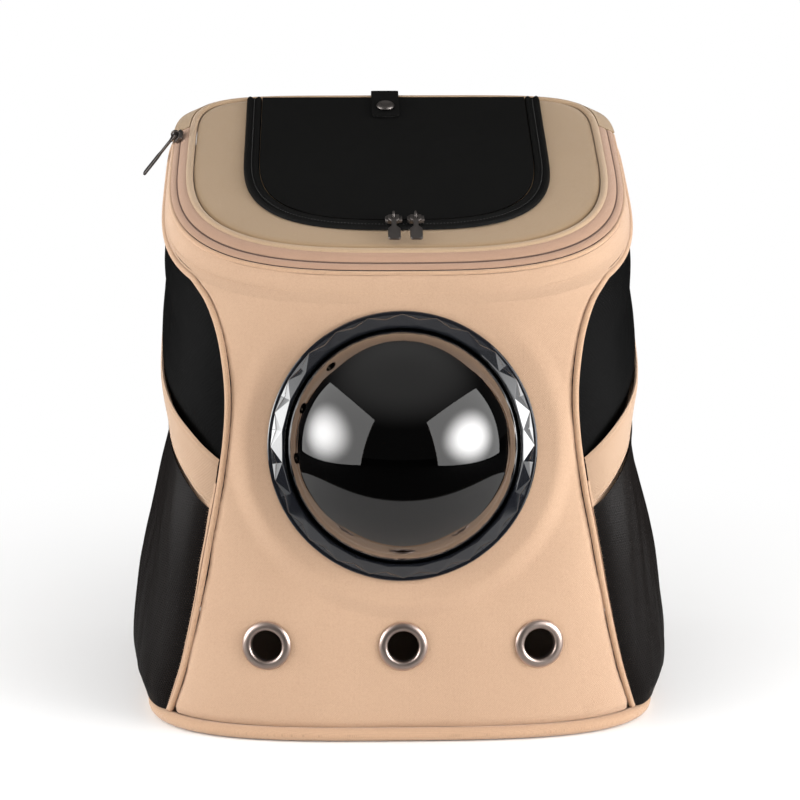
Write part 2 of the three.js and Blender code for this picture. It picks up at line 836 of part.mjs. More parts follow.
function addVents() {
  const names = ['left', 'middle', 'right'];
  const rear = -clothThickness;
  const profile = [
    [ventBore, rear - 0.5], [ventBore, 0.2], [ventBore + ventRoll, ventRoll], [ventRadius - 1.2, 1.6],
    [ventRadius, 0], [ventBore + ventRoll, 0], [ventBore + ventRoll, rear], [ventRadius - 1, rear],
    [ventRadius - 1, rear - 1.2], [ventBore + 1, rear - 1.4],
  ];
  ventGroups.forEach((group, k) => {
    add(`${names[k] ?? k}_vent_grommet`, turned([...profile, profile[0]], 12), darkMetal(), group);
    carrier.add(group);
  });
}

// Faceted grip: its middle ring steps in and out from one corner to the next.
function gripRing() {
  const sides = 2 * gripFacets;
  const base = flangeThickness + 2 * gap + 0.1;
  const inner = bubbleRadius + gap;
  const rings = Array.from({ length: sides }, (_, k) => {
    const turn = (Math.PI * k) / gripFacets;
    const high = k % 2 === 0;
    const at = (radius, height) => new THREE.Vector3(radius * Math.cos(turn), radius * Math.sin(turn), height);
    return [
      at(inner, base),
      at(gripRadius, base),
      at(gripRadius, base + gripHeight * (high ? 0.28 : 0.4)),
      at(gripRadius - (high ? 2.0 : 4.4), base + gripHeight * (high ? 0.7 : 0.8)),
      at(inner + (high ? 3.6 : 1.8), base + gripHeight),
      at(inner, base + gripHeight * 0.92),
    ];
  });
  return loft(rings, true);
}

// One of the three air holes low in the bubble's left side, straight through its wall.
function airHole(k, sphere, centre) {
  const turn = airHoleMiddle + k * airHoleStep;
  const height = airHoleUp * bubbleHeight;
  const base = flangeThickness + 2 * gap + 0.1;
  const rise = Math.asin((base + height - centre) / sphere);
  const out = new THREE.Vector3(Math.cos(turn) * Math.cos(rise), Math.sin(turn) * Math.cos(rise), Math.sin(rise));
  const from = sphere - 2 * bubbleThickness;
  const to = sphere + bubbleThickness;
  const points = [from, to].map((reach) => new THREE.Vector3(0, 0, centre).addScaledVector(out, reach));
  return solid(bar(points, airHoleRadius, 6));
}

function addWindow() {
  const group = windowGroup;
  const neck = collarRadius + collarDepth;
  const inside = flangeRadius - 4;
  const rear = -clothThickness - gap;
  const front = flangeThickness + gap;
  const mount = [
    [collarRadius, rear - 2.5], [collarRadius, front], [flangeRadius - 0.8, front],
    [flangeRadius, front - 1], [flangeRadius, gap], [neck, gap], [neck, rear], [inside, rear],
    [inside, rear - 2.5],
  ];
  add('window_mount_ring', turned([...mount, mount[0]], 32), blackPlastic(), group);
  add('bubble_grip_ring', gripRing(), blackPlastic(), group);
  const base = flangeThickness + 2 * gap + 0.1;
  const sphere = (bubbleRadius ** 2 + bubbleHeight ** 2) / (2 * bubbleHeight);
  const centre = base + bubbleHeight - sphere;
  const steps = 4;
  const arc = (radius, from, to) => Array.from({ length: steps + 1 }, (_, k) => {
    const rise = THREE.MathUtils.lerp(from, to, k / steps);
    return [k === (to > from ? steps : 0) ? 0 : radius * Math.cos(rise), centre + radius * Math.sin(rise)];
  });
  const start = Math.asin((base - centre) / sphere);
  const hollow = sphere - bubbleThickness;
  const hollowStart = Math.asin((base - centre) / hollow);
  const outer = arc(sphere, start, Math.PI / 2);
  const inner = arc(hollow, Math.PI / 2, hollowStart);
  inner[0][0] = 0;
  let dome = solid(turned([...outer, ...inner, outer[0]], 32));
  for (const k of [-1, 0, 1]) dome = dome.subtract(airHole(k, sphere, centre));
  add('bubble_dome', shape(dome), finish(smoke, 0.06), group);
  carrier.add(group);
}

// Slider with an arch over its plate. Local X runs along the zip, Y across it and Z away
// from it, and the pull turns about the line through the arch's centre, along X.
function sliderBody() {
  const half = sliderLength / 2;
  const wide = sliderWidth / 2;
  const outline = new THREE.Shape();
  outline.moveTo(-half, -wide * 0.7);
  outline.lineTo(-half * 0.2, -wide);
  outline.lineTo(half * 0.7, -wide);
  outline.lineTo(half, -wide * 0.45);
  outline.lineTo(half, wide * 0.45);
  outline.lineTo(half * 0.7, wide);
  outline.lineTo(-half * 0.2, wide);
  outline.lineTo(-half, wide * 0.7);
  outline.closePath();
  const plate = bare(new THREE.ExtrudeGeometry(outline, { depth: sliderPlate, bevelEnabled: false, steps: 1 }));
  const steps = 8;
  const drop = pivotLift + sliderPlate * 0.5;
  const arch = [new THREE.Vector3(0, archRadius, sliderPlate + pivotLift - drop)];
  for (let k = 0; k <= steps; k += 1) {
    const turn = (Math.PI * k) / steps;
    arch.push(new THREE.Vector3(0, archRadius * Math.cos(turn), sliderPlate + pivotLift + archRadius * Math.sin(turn)));
  }
  arch.push(new THREE.Vector3(0, -archRadius, sliderPlate + pivotLift - drop));
  return shape(solid(plate).add(solid(bar(arch, wireRadius, 6))));
}

// Pull tag: a slotted end bar on the pivot, a thin neck and a wider grip, along local Y
// from the pivot at the origin.
function pullTag(length, gripWidth) {
  const half = pullWidth / 2;
  const inside = archRadius - wireRadius - gap;
  const outside = archRadius + wireRadius + gap;
  const rail = outside + 1.3;
  const neck = Math.min(half * 0.45, gripWidth / 3);
  const tag = new THREE.Shape();
  tag.moveTo(-half, -wireRadius);
  tag.lineTo(half, -wireRadius);
  tag.lineTo(half, rail - 0.6);
  tag.lineTo(neck, rail + 1.2);
  tag.lineTo(neck, length * 0.45);
  tag.lineTo(gripWidth / 2, length * 0.56);
  tag.lineTo(gripWidth / 2, length - 1.5);
  tag.lineTo(gripWidth / 2 - 1.2, length);
  tag.lineTo(1.2 - gripWidth / 2, length);
  tag.lineTo(-gripWidth / 2, length - 1.5);
  tag.lineTo(-gripWidth / 2, length * 0.56);
  tag.lineTo(-neck, length * 0.45);
  tag.lineTo(-neck, rail + 1.2);
  tag.lineTo(-half, rail - 0.6);
  tag.closePath();
  const slot = new THREE.Path();
  const wide = wireRadius + gap;
  slot.moveTo(-wide, inside);
  slot.lineTo(-wide, outside);
  slot.lineTo(wide, outside);
  slot.lineTo(wide, inside);
  slot.closePath();
  tag.holes.push(slot);
  const geometry = new THREE.ExtrudeGeometry(tag, { depth: pullThickness, bevelEnabled: false, steps: 1 });
  geometry.translate(0, 0, -pullThickness / 2);
  return bare(geometry);
}

// Slider and pull in a frame: along the zip, outward normal, and the pull's resting
// direction as an angle about the zip from the direction across.
function addSlider(name, pullName, centre, along, normal, rest, length, gripWidth) {
  const across = normal.clone().cross(along).normalize();
  const group = new THREE.Group();
  group.position.copy(centre);
  group.quaternion.setFromRotationMatrix(new THREE.Matrix4().makeBasis(along, across, normal));
  add(name, sliderBody(), darkMetal(), group);
  const pivot = new THREE.Group();
  pivot.position.set(0, 0, sliderPlate + pivotLift);
  pivot.rotation.x = rest;
  add(pullName, pullTag(length, gripWidth), darkMetal(), pivot);
  group.add(pivot);
  carrier.add(group);
}

function addSliders() {
  const coilOut = lidPipingInset - coilInset;
  const step = 0.02;
  const at = (angle) => rimPoint(angle, coilOut, tapeLift(coilOut));
  const along = at(mainZipAngle - step).sub(at(mainZipAngle + step)).normalize();
  const outward = rimPoint(mainZipAngle, coilOut + 5, tapeLift(coilOut + 5))
    .sub(rimPoint(mainZipAngle, coilOut - 5, tapeLift(coilOut - 5))).normalize();
  const normal = along.clone().cross(outward).normalize();
  if (normal.z < 0) normal.negate();
  normal.applyAxisAngle(along, -mainSliderTilt);
  const seat = at(mainZipAngle).addScaledVector(normal, mainSliderSeat);
  addSlider('main_zip_slider', 'main_zip_pull', seat, along, normal, mainPullRest, mainPullLength, 5.6);
  const slope = new THREE.Vector3(0, -rimSlope, 1).normalize();
  const leftward = new THREE.Vector3(-1, 0, 0);
  for (const [side, word] of [[-1, 'left'], [1, 'right']]) {
    const y = flapFront + flapBindingWidth / 2;
    const lift = lidTop + gap + flapThickness + flapRidge + gap;
    const place = new THREE.Vector3(flapZipMiddle + side * flapSliderOffset, y, rimHeight(y) + lift);
    addSlider(`${word}_flap_slider`, `${word}_flap_pull`, place, leftward, slope,
      flapPullRest, flapPullLength, 8);
  }
}

// Middle line of the right shoulder strap from its top on the back panel down to its lower
// end, and of its webbing below. side: share of baseHalfWidth. behind: share of strapReach
// behind the back panel. up: share of the rim's height at the back.
const strapPath = [
  { side: 0.3804, behind: 0.0291, up: 0.9219 },
  { side: 0.3865, behind: 0.3818, up: 0.9139 },
  { side: 0.3988, behind: 0.7455, up: 0.8606 },
  { side: 0.4233, behind: 0.9273, up: 0.7727 },
  { side: 0.4540, behind: 1.0000, up: 0.6661 },
  { side: 0.4908, behind: 1.0000, up: 0.5595 },
  { side: 0.5399, behind: 0.9273, up: 0.4583 },
  { side: 0.5828, behind: 0.8000, up: 0.3784 },
];
const webbingPath = [
  { side: 0.5834, behind: 0.7982, up: 0.3770 },
  { side: 0.6074, behind: 0.7182, up: 0.3304 },
  { side: 0.6564, behind: 0.5818, up: 0.2451 },
  { side: 0.7178, behind: 0.4000, up: 0.1652 },
  { side: 0.7730, behind: 0.1818, up: 0.1066 },
  { side: 0.7914, behind: 0.1000, up: 0.0799 },
];

function strapPoints(table) {
  const top = rimHeight(backPlane);
  return table.map(({ side, behind, up }) => (
    new THREE.Vector3(side * baseHalfWidth, backPlane + behind * strapReach, up * top)));
}

function addStraps() {
  const pad = new THREE.CatmullRomCurve3(strapPoints(strapPath)).getPoints(10);
  const across = new THREE.Vector3(1, 0, 0);
  const width = (share) => padWidth * (share < 0.1 ? 0.8 : 1 - 0.35 * Math.max(share - 0.5, 0) * 2);
  const thick = (share) => padThickness * (share < 0.05 || share > 0.96 ? 0.45 : 1);
  const round = [[0.86, -1], [1, -0.4], [1, 0.4], [0.86, 1]];
  addPair('shoulder_strap', band(pad, width, thick, across, round), blackCloth);
  const web = new THREE.CatmullRomCurve3(strapPoints(webbingPath));
  const webbing = web.getPoints(12);
  addPair('strap_webbing', band(webbing, webbingWidth, webbingThickness, across), blackCloth);
  addPair('strap_adjuster', adjuster(web), blackPlasticPart);
  const low = strapPoints(webbingPath).pop();
  const tab = [0, 0.44, 1].map((share) => new THREE.Vector3(low.x + 1,
    backPlane + gap + anchorThickness / 2, anchorLow + (anchorHigh - anchorLow) * share));
  const flare = (share) => anchorWidth + (webbingWidth + 2 - anchorWidth) * share;
  addPair('strap_anchor', band(tab, flare, anchorThickness, across), blackCloth);
}

const blackPlasticPart = () => blackPlastic();

// Three-bar adjuster lying on the webbing, on its outer side.
function adjuster(web) {
  const share = 0.22;
  const centre = web.getPointAt(share);
  const down = web.getTangentAt(share);
  const across = new THREE.Vector3(1, 0, 0);
  across.addScaledVector(down, -across.dot(down)).normalize();
  const out = across.clone().cross(down).normalize();
  if (out.y < 0) out.negate();
  const side = down.clone().cross(out);
  const frame = new THREE.Shape();
  const w = adjusterWidth / 2;
  const h = adjusterHeight / 2;
  frame.moveTo(-w, -h);
  frame.lineTo(w, -h);
  frame.lineTo(w, h);
  frame.lineTo(-w, h);
  frame.closePath();
  for (const [low, high] of [[-h + 4, -2], [2, h - 4]]) {
    const slot = new THREE.Path();
    slot.moveTo(-w + 3.5, low);
    slot.lineTo(-w + 3.5, high);
    slot.lineTo(w - 3.5, high);
    slot.lineTo(w - 3.5, low);
    slot.closePath();
    frame.holes.push(slot);
  }
  const geometry = bare(new THREE.ExtrudeGeometry(frame, { depth: adjusterThickness, bevelEnabled: false }));
  const matrix = new THREE.Matrix4().makeBasis(side, down, out);
  matrix.setPosition(centre.addScaledVector(out, webbingThickness / 2 + 2 * gap));
  return facingOut(Array.from(geometry.applyMatrix4(matrix).attributes.position.array),
    Array.from(geometry.index.array));
}

function addHaulLoop() {
  const points = [];
  const count = 12;
  const height = rimHeight(backPlane) - haulDrop;
  for (let k = 0; k <= count; k += 1) {
    const turn = (Math.PI * k) / count;
    const reach = Math.sin(turn);
    points.push(new THREE.Vector3(
      (-haulSpan / 2) * Math.cos(turn),
      backPlane + 4 * gap + webbingThickness + haulReach * reach ** 0.8,
      height + haulRise * reach,
    ));
  }
  add('haul_loop', band(points, haulWidth, webbingThickness + 1, new THREE.Vector3(0, 0, 1)), blackCloth());
}

addBase();
addFrontPanel();
addSeamPiping();
addSides();
addPockets();
addBackPanel();
addLid();
addZip();
addFlap();
addSnapTab();
addVents();
addWindow();
addSliders();
addStraps();
addHaulLoop();

export default carrier;
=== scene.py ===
"""Bubble pet carrier backpack: cloth, mesh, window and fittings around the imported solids.

Places are worked out in millimetres and become metres where a mesh is made. The front faces
-Y and left is -X. The wall of the case, the lid and the flap follow the same tables as the
solids, so every piece lies where its solid lies.
"""
import math

import bmesh
import bpy
import numpy as np
from mathutils import Matrix, Vector


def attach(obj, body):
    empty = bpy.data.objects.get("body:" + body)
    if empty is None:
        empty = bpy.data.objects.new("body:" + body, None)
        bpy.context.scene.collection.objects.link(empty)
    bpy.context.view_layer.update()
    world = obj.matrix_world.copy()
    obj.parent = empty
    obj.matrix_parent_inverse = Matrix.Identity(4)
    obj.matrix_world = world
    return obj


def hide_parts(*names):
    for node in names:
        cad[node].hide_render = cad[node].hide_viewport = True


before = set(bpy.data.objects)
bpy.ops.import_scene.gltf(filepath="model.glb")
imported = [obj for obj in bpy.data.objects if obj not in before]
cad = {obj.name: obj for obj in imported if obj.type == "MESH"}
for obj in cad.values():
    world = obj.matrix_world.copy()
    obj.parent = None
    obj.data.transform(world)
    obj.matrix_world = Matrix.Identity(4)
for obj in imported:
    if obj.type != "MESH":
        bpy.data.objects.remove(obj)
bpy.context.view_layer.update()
MM = 0.001
TAU = 2 * math.pi

# Sizes of the case, in millimetres
GAP = 0.3
BASE_HALF, BASE_FRONT, BASE_CENTRE = 163.0, -130.0, -30.0
BACK, BACK_BULGE = 135.0, 2.0
FRONT_HEIGHT, FRONT_LEAN = 290.0, 44.0
RIM_CENTRE, RIM_SLOPE = 50.0, 0.386
CLOTH, MESH, BACK_PAD, BASE_PAD = 2.5, 1.2, 6.0, 4.0
WELT, WELT_INSET = 4.2, 0.6
PIPING, BACK_SEAM_GAP = 2.0, -0.6
WAIST, FOOT = 110.0, 150.0
SHOULDER_UP, SHOULDER_BACK_UP = 0.957, 0.972
WINDOW_HEIGHT, WINDOW_TILT = 186.0, math.radians(12.3)
BUBBLE, BUBBLE_HEIGHT, BUBBLE_WALL = 73.2, 58.0, 2.5
AIR_HOLE, AIR_HOLE_UP, AIR_HOLE_MIDDLE, AIR_HOLE_STEP = 3.6, 0.31, 159.0, 27.0
GRIP, RING_TOP, FACETS = 82.6, 7.6, 24
SKIRT = 4.5  # straight part of the dome behind its sphere
FLANGE, FLANGE_HEIGHT, COLLAR_DEPTH = 84.6, 3.0, 2.4
FLAT_MARGIN, FLAT_BLEND = 12.0, 14.0
VENT_SPACING, VENT_HEIGHT, VENT, VENT_BORE, VENT_ROLL = 86.0, 61.0, 15.6, 9.7, 2.2
POCKET_UP, HEM_LOW, HEM_TOP, MESH_START, HEM_RISE = 0.513, 0.518, 0.62, 0.57, 0.16
POCKET_BULGE, HEM_STAND, HEM_CLOTH, POCKET_GAP = 13.0, 5.6, 2.0, 0.7
LID_PIPING, LID_INSET, LID_LIFT, LID_PAD = 2.3, 14.4, 7.6, 5.0
TAPE, COIL, COIL_INSET, RIM_PIPING = 1.0, 1.2, 7.4, 1.6
ZIP_END = math.radians(105)
FLAP_HALF, FLAP_FRONT, FLAP_CENTRE, FLAP_BACK, FLAP_SQUARE = 102.0, -51.0, 45.0, 123.0, 3.0
FLAP_CLOTH, BINDING = 1.6, 10.4
TAB_X, TAB_WIDTH, TAB_FRONT, TAB_CLOTH, SNAP = -6.0, 19.0, 93.0, 1.6, 6.2
WEBBING, WEBBING_WIDTH, STRAP_WIDTH, STRAP_PAD = 1.6, 25.0, 56.0, 10.0
STRAP_REACH, HAUL_SPAN, HAUL_REACH, HAUL_WIDTH = 55.0, 54.0, 24.0, 22.0
HAUL_DROP, HAUL_RISE = 34.0, 8.0
FOOT_UP = (2 * WELT + GAP) / FRONT_HEIGHT
PIPING_FOOT = FOOT_UP + 0.8 / FRONT_HEIGHT
RISE_ROWS, SHOULDER_ROWS, RIM_ROWS = 13, 5, 2
SEAM_ROWS = RISE_ROWS + SHOULDER_ROWS
LID_TOP = LID_LIFT + LID_PAD / 2
SEAM_EDGE = PIPING - 0.5  # cloth dives under its piping
PER_ANGLE = 130.0  # along the front, for one radian
SIDE_SPAN, POCKET_SPAN = 240.0, 230.0  # across the side, for the waves in its cloth
MESH_RISE, WALL_RISE, HEM_WIDTH = 150.0, 160.0, 32.0
BACK_SPAN, BACK_RISE, BACK_BORDER, BACK_CHANNEL = 270.0, 350.0, 18.0, 46.0
WINDOW_SEAT = FLANGE_HEIGHT + 2 * GAP + 0.1  # foot of the bubble and its ring
PAD_CENTRE, LID_CENTRE = 5.0, 35.0  # middles that the base and the lid shrink towards
FLAP_NOSE = 0.62  # share of the flap's rows in front of its straight sides

# Plan of the case at a share of its height: half width, lean, shift, front and back squareness
PLAN = np.array([
    (0.0, 1.0, 0.0, 0.0, 3.2, 9), (0.12, 0.995, 0.03, 0.05, 3.3, 9),
    (0.3, 0.963, 0.12, 0.14, 3.6, 9), (0.45, 0.928, 0.27, 0.25, 4.4, 8),
    (0.58, 0.895, 0.415, 0.37, 4.8, 8), (0.64, 0.905, 0.49, 0.45, 4.8, 8),
    (0.73, 0.945, 0.6, 0.58, 4.5, 7), (0.83, 0.94, 0.735, 0.73, 4.0, 7),
    (0.92, 0.938, 0.87, 0.88, 3.4, 6), (0.957, 0.95, 0.93, 0.94, 3.2, 6),
    (1.0, 0.9325, 1.0, 1.0, 3.1, 6)])
# Half width of the front cloth: share of the way from the waist to the foot
FRONT_EDGE = np.array([
    (0.03, 1.0), (0.15, 0.74), (0.3, 0.5), (0.44, 0.31), (0.57, 0.13), (0.68, 0.02),
    (0.76, 0.0), (0.83, 0.06), (0.88, 0.16), (0.92, 0.33), (0.945, 0.56)])
# Bulge of a pocket from its foot to its top
POCKET = np.array([(0, 0.3), (0.1, 0.95), (0.3, 1.0), (0.62, 0.8), (0.86, 0.64), (1.0, 0.5)])
# Middle line of the right strap and of its webbing: side, behind and up, as shares
STRAP = np.array([
    (0.3804, 0.0291, 0.9219), (0.3865, 0.3818, 0.9139), (0.3988, 0.7455, 0.8606),
    (0.4233, 0.9273, 0.7727), (0.4540, 1.0, 0.6661), (0.4908, 1.0, 0.5595),
    (0.5399, 0.9273, 0.4583), (0.5828, 0.8, 0.3784)])
WEB = np.array([
    (0.5834, 0.7982, 0.3770), (0.6074, 0.7182, 0.3304), (0.6564, 0.5818, 0.2451),
    (0.7178, 0.4, 0.1652), (0.7730, 0.1818, 0.1066), (0.7914, 0.1, 0.0799)])


def lerp(low, high, share):
    return low + (high - low) * share


def ease(value, low=0.0, high=1.0):
    share = np.clip((np.asarray(value, float) - low) / (high - low), 0, 1)
    return share * share * (3 - 2 * share)


def column(table, key, value):
    """A column of a table at a share, eased through its rows."""
    at, held = table[:, 0], table[:, key]
    value = np.asarray(value, float)
    row = np.clip(np.searchsorted(at, value, side="left") - 1, 0, len(at) - 2)
    low = np.maximum(np.arange(len(at)) - 1, 0)
    high = np.minimum(np.arange(len(at)) + 1, len(at) - 1)
    slope = (held[high] - held[low]) / (at[high] - at[low])
    span = at[row + 1] - at[row]
    share = np.clip((value - at[row]) / span, 0, 1)
    bend = share * share * (3 - 2 * share)
    rising = share * (1 - share) ** 2 * slope[row]
    falling = share * share * (1 - share) * slope[row + 1]
    return held[row] + (held[row + 1] - held[row]) * bend + (rising - falling) * span


def plan_at(up, outward=0.0):
    """The case's outline at a share of its height, moved outward."""
    return (BASE_HALF * column(PLAN, 1, up) + outward,
            BASE_FRONT + FRONT_LEAN * column(PLAN, 2, up) - outward,
            BACK + BACK_BULGE + outward,
            lerp(BASE_CENTRE, RIM_CENTRE, column(PLAN, 3, up)),
            column(PLAN, 4, up), column(PLAN, 5, up))


def outline_point(outline, angle):
    """A point of an outline, at an angle from straight ahead towards the right."""
    half, front, back, centre, front_square, back_square = outline
    across, along = np.abs(np.sin(angle)), np.cos(angle)
    depth = np.where(along > 0, centre - front, back - centre)
    square = np.where(along > 0, front_square, back_square)
    reach = ((across / half) ** square + (np.abs(along) / depth) ** square) ** (-1 / square)
    return reach * np.sin(angle), centre - reach * np.cos(angle)


RIM_FRONT = float(plan_at(1.0)[1])


def rim_height(y):
    return FRONT_HEIGHT + RIM_SLOPE * (y - RIM_FRONT)


def points_of(x, y, z):
    return np.stack(np.broadcast_arrays(x, y, z), axis=-1).astype(float)


def loose_wall(up, angle, outward=0.0):
    """The case's wall before the window flattens it."""
    x, y = outline_point(plan_at(up, outward), angle)
    y = np.minimum(y, BACK + outward)
    return points_of(x, y, up * rim_height(y))


def up_at_height(height, angle):
    low, high = 0.0, 1.0
    for _ in range(30):
        middle = (low + high) / 2
        if loose_wall(middle, angle)[2] < height:
            low = middle
        else:
            high = middle
    return low


WINDOW_NORMAL = np.array((0, -math.cos(WINDOW_TILT), math.sin(WINDOW_TILT)))
WINDOW_CENTRE = loose_wall(up_at_height(WINDOW_HEIGHT, 0.0), 0.0)


def wall(up, angle, outward=0.0):
    """The case's wall, flat under the window's flange."""
    outward = np.asarray(outward, float)
    point = loose_wall(up, angle, outward)
    away = point - WINDOW_CENTRE
    height = away @ WINDOW_NORMAL
    radius = np.sqrt(np.maximum((away ** 2).sum(-1) - height ** 2, 0))
    start = FLANGE + FLAT_MARGIN
    flat = (1 - ease(radius, start, start + FLAT_BLEND)) * (point[..., 1] <= 0)
    return point + ((outward - height) * flat)[..., None] * WINDOW_NORMAL


def back_seam_angle(up):
    plan = plan_at(up)
    return math.pi - np.arctan2(plan[0], plan[2] - plan[3])


def angle_at_width(up, width):
    up, width = np.broadcast_arrays(np.asarray(up, float), np.asarray(width, float))
    low, high = np.zeros(up.shape), np.full(up.shape, math.pi / 2)
    for _ in range(30):
        middle = (low + high) / 2
        short = loose_wall(up, middle)[..., 0] < width
        low, high = np.where(short, middle, low), np.where(short, high, middle)
    return low


def seam_place(row):
    """The seam beside the front cloth: it rises, then turns back over the shoulder."""
    row = np.asarray(row, float)
    top = FRONT_EDGE[-1, 0]
    rise = np.clip(row, 0, RISE_ROWS) / RISE_ROWS
    up = lerp(FOOT_UP, top, rise)
    angle = angle_at_width(up, lerp(WAIST, FOOT, column(FRONT_EDGE, 1, up)))
    share = np.clip((row - RISE_ROWS) / SHOULDER_ROWS, 0, 1)
    level = np.where(share < 0.34, lerp(top, SHOULDER_UP, share / 0.34),
                     lerp(SHOULDER_UP, SHOULDER_BACK_UP, (share - 0.34) / 0.66))
    end = back_seam_angle(SHOULDER_BACK_UP) - BACK_SEAM_GAP / BASE_HALF
    turned = lerp(angle, end, (share + np.sin(share * math.pi / 2) * 0.25) / 1.25)
    return np.where(row <= RISE_ROWS, up, level), np.where(row <= RISE_ROWS, angle, turned)


def seam_beside(row, distance):
    """The seam moved sideways along the wall, outward from the front cloth."""
    row = np.asarray(row, float)
    up, angle = seam_place(row)
    up_before, angle_before = seam_place(np.maximum(row - 0.5, 0))
    up_after, angle_after = seam_place(np.minimum(row + 0.5, SEAM_ROWS))
    step = 0.001
    here = loose_wall(up, angle)
    along_angle = np.linalg.norm(loose_wall(up, angle + step) - here, axis=-1) / step
    along_up = np.linalg.norm(loose_wall(up + step, angle) - here, axis=-1) / step
    turn_x = (angle_after - angle_before) * along_angle
    turn_y = (up_after - up_before) * along_up
    size = np.hypot(turn_x, turn_y)
    return (np.maximum(up - turn_x / size * distance / along_up, FOOT_UP),
            angle + turn_y / size * distance / along_angle)


SEAM_TABLE = np.linspace(0, SEAM_ROWS, 721)
BESIDE_TABLE = {d: seam_beside(SEAM_TABLE, d) for d in (SEAM_EDGE, -SEAM_EDGE)}
PLACE_TABLE = seam_place(SEAM_TABLE)


def beside(row, distance):
    ups, angles = BESIDE_TABLE[distance]
    return np.interp(row, SEAM_TABLE, ups), np.interp(row, SEAM_TABLE, angles)


def side_place(up, share):
    """Place on the side between the front seam (0) and the back seam (1)."""
    rise = (up - FOOT_UP) / (SHOULDER_UP - FOOT_UP) * RISE_ROWS
    edge = beside(np.clip(rise, 0, RISE_ROWS), SEAM_EDGE)[1]
    return up, lerp(edge, back_seam_angle(up) - BACK_SEAM_GAP / BASE_HALF, share)


def mesh_place(rise, share):
    """The upper side: its top follows the seam back over the shoulder."""
    top_up, top_angle = beside(RISE_ROWS + SHOULDER_ROWS * share, SEAM_EDGE)
    up = lerp(MESH_START + hem_lift(share), top_up, rise)
    angle = side_place(np.minimum(up, FRONT_EDGE[-1, 0] - 0.005), share)[1]
    late = lerp(0.95, 0.6, ease(share, 0, 0.4))
    return up, lerp(angle, top_angle, ease((rise - late) / (1 - late)))


def hem_lift(share):
    """The hem climbs steeply from the front seam, then levels out towards the back."""
    return HEM_RISE * (1 - (1 - np.clip(share, 0, 1)) ** 5)


def swell(share):
    return np.sin(math.pi * np.clip(share, 0, 1)) ** 0.6


def mouth_swell(share):
    """The pocket's mouth lies close to the side towards the back."""
    return swell(share) * (1 - 0.95 * ease(share, 0.06, 0.34))


def rim_outline(outward):
    half, front, _, centre, front_square, back_square = plan_at(1.0, outward - LID_INSET)
    return half, front, BACK - LID_PIPING - 2 * GAP - 3 + outward, centre, front_square, back_square


def rim_point(angle, outward, lift):
    """Beside the rim: outward from the lid's piping, and lift above the rim's slope."""
    x, y = outline_point(rim_outline(outward), angle)
    return points_of(x, y, rim_height(y) + lift)


def tape_lift(outward):
    return LID_LIFT * (1 - outward / LID_INSET) + RIM_PIPING * 0.6


def ripple(x, y, seed, size=40.0):
    """Gentle uneven waves between about -1 and 1."""
    total, weight = 0.0, 0.0
    for k in range(5):
        turn = seed * 1.7 + k * 2.4
        reach = size / (1 + 0.62 * k)
        share = 1 / (1 + 0.7 * k)
        total = total + share * np.sin(
            TAU * (x * math.cos(turn) + y * math.sin(turn)) / reach + seed * 3.1 + k * 1.9)
        weight += share
    return total / weight


# Making and finishing meshes
def placed_grid(columns, rows, place, uv=None, closed_u=False, closed_v=False):
    """A grid of cloth whose corners place() moves from shares across and up to millimetres."""
    cloth = bmesh.new()
    bmesh.ops.create_grid(cloth, x_segments=columns, y_segments=rows, size=0.5)
    cloth.verts.ensure_lookup_table()
    flat = np.array([v.co for v in cloth.verts])
    u, v = flat[:, 0] + 0.5, flat[:, 1] + 0.5
    points = place(u, v)
    for vert, point in zip(cloth.verts, points * MM):
        vert.co = point
    i, j = np.rint(u * columns).astype(int), np.rint(v * rows).astype(int)
    if uv is None:
        net = np.zeros((rows + 1, columns + 1, 3))
        net[j, i] = points * MM
        across = np.zeros((rows + 1, columns + 1))
        upward = np.zeros((rows + 1, columns + 1))
        across[:, 1:] = np.linalg.norm(np.diff(net, axis=1), axis=2).cumsum(1)
        upward[1:] = np.linalg.norm(np.diff(net, axis=0), axis=2).cumsum(0)
        across -= across[:, columns // 2][:, None]
        pattern = np.stack((across[j, i], upward[j, i]), axis=1)
    else:
        pattern = uv(points) * MM
    layer = cloth.loops.layers.uv.new("cloth")
    for face in cloth.faces:
        for loop in face.loops:
            loop[layer].uv = pattern[loop.vert.index]
    if closed_u or closed_v:
        bmesh.ops.remove_doubles(cloth, verts=cloth.verts, dist=2e-6)
    return cloth


def top_pattern(points):
    return np.stack((points[:, 0], points[:, 1] * math.hypot(1, RIM_SLOPE)), axis=1)


def face_out(cloth):
    """Turns over a sheet whose faces, in the directions that they had when the grid was made,
    look down on the middle of the case. This says to which side the sheet's thickness grows."""
    middle = Vector((0.0, 0.02, 0.15))
    facing = sum(f.normal.dot(f.calc_center_median() - middle) * f.calc_area()
                 for f in cloth.faces)
    if facing < 0:
        bmesh.ops.reverse_faces(cloth, faces=cloth.faces)
    return cloth


def close_up(body):
    """Caps what is open, and points the faces outward."""
    rims = [e for e in body.edges if e.is_boundary]
    if rims:
        bmesh.ops.holes_fill(body, edges=rims, sides=0)
    bmesh.ops.recalc_face_normals(body, faces=body.faces)
    return body


def frames_along(path, closed=False):
    """Tangent and two square directions at each point of a path, turned without twist."""
    path = np.asarray(path, float)
    if closed:
        tangent = np.roll(path, -1, 0) - np.roll(path, 1, 0)
    else:
        tangent = np.gradient(path, axis=0)
    tangent /= np.linalg.norm(tangent, axis=1)[:, None]
    side = np.array((0.0, 0, 1)) if abs(tangent[0][2]) < 0.8 else np.array((0.0, 1, 0))
    sides = np.zeros(path.shape)
    for k, along in enumerate(tangent):
        side = side - along * (side @ along)
        side = side / np.linalg.norm(side)
        sides[k] = side
    return tangent, sides, np.cross(tangent, sides)


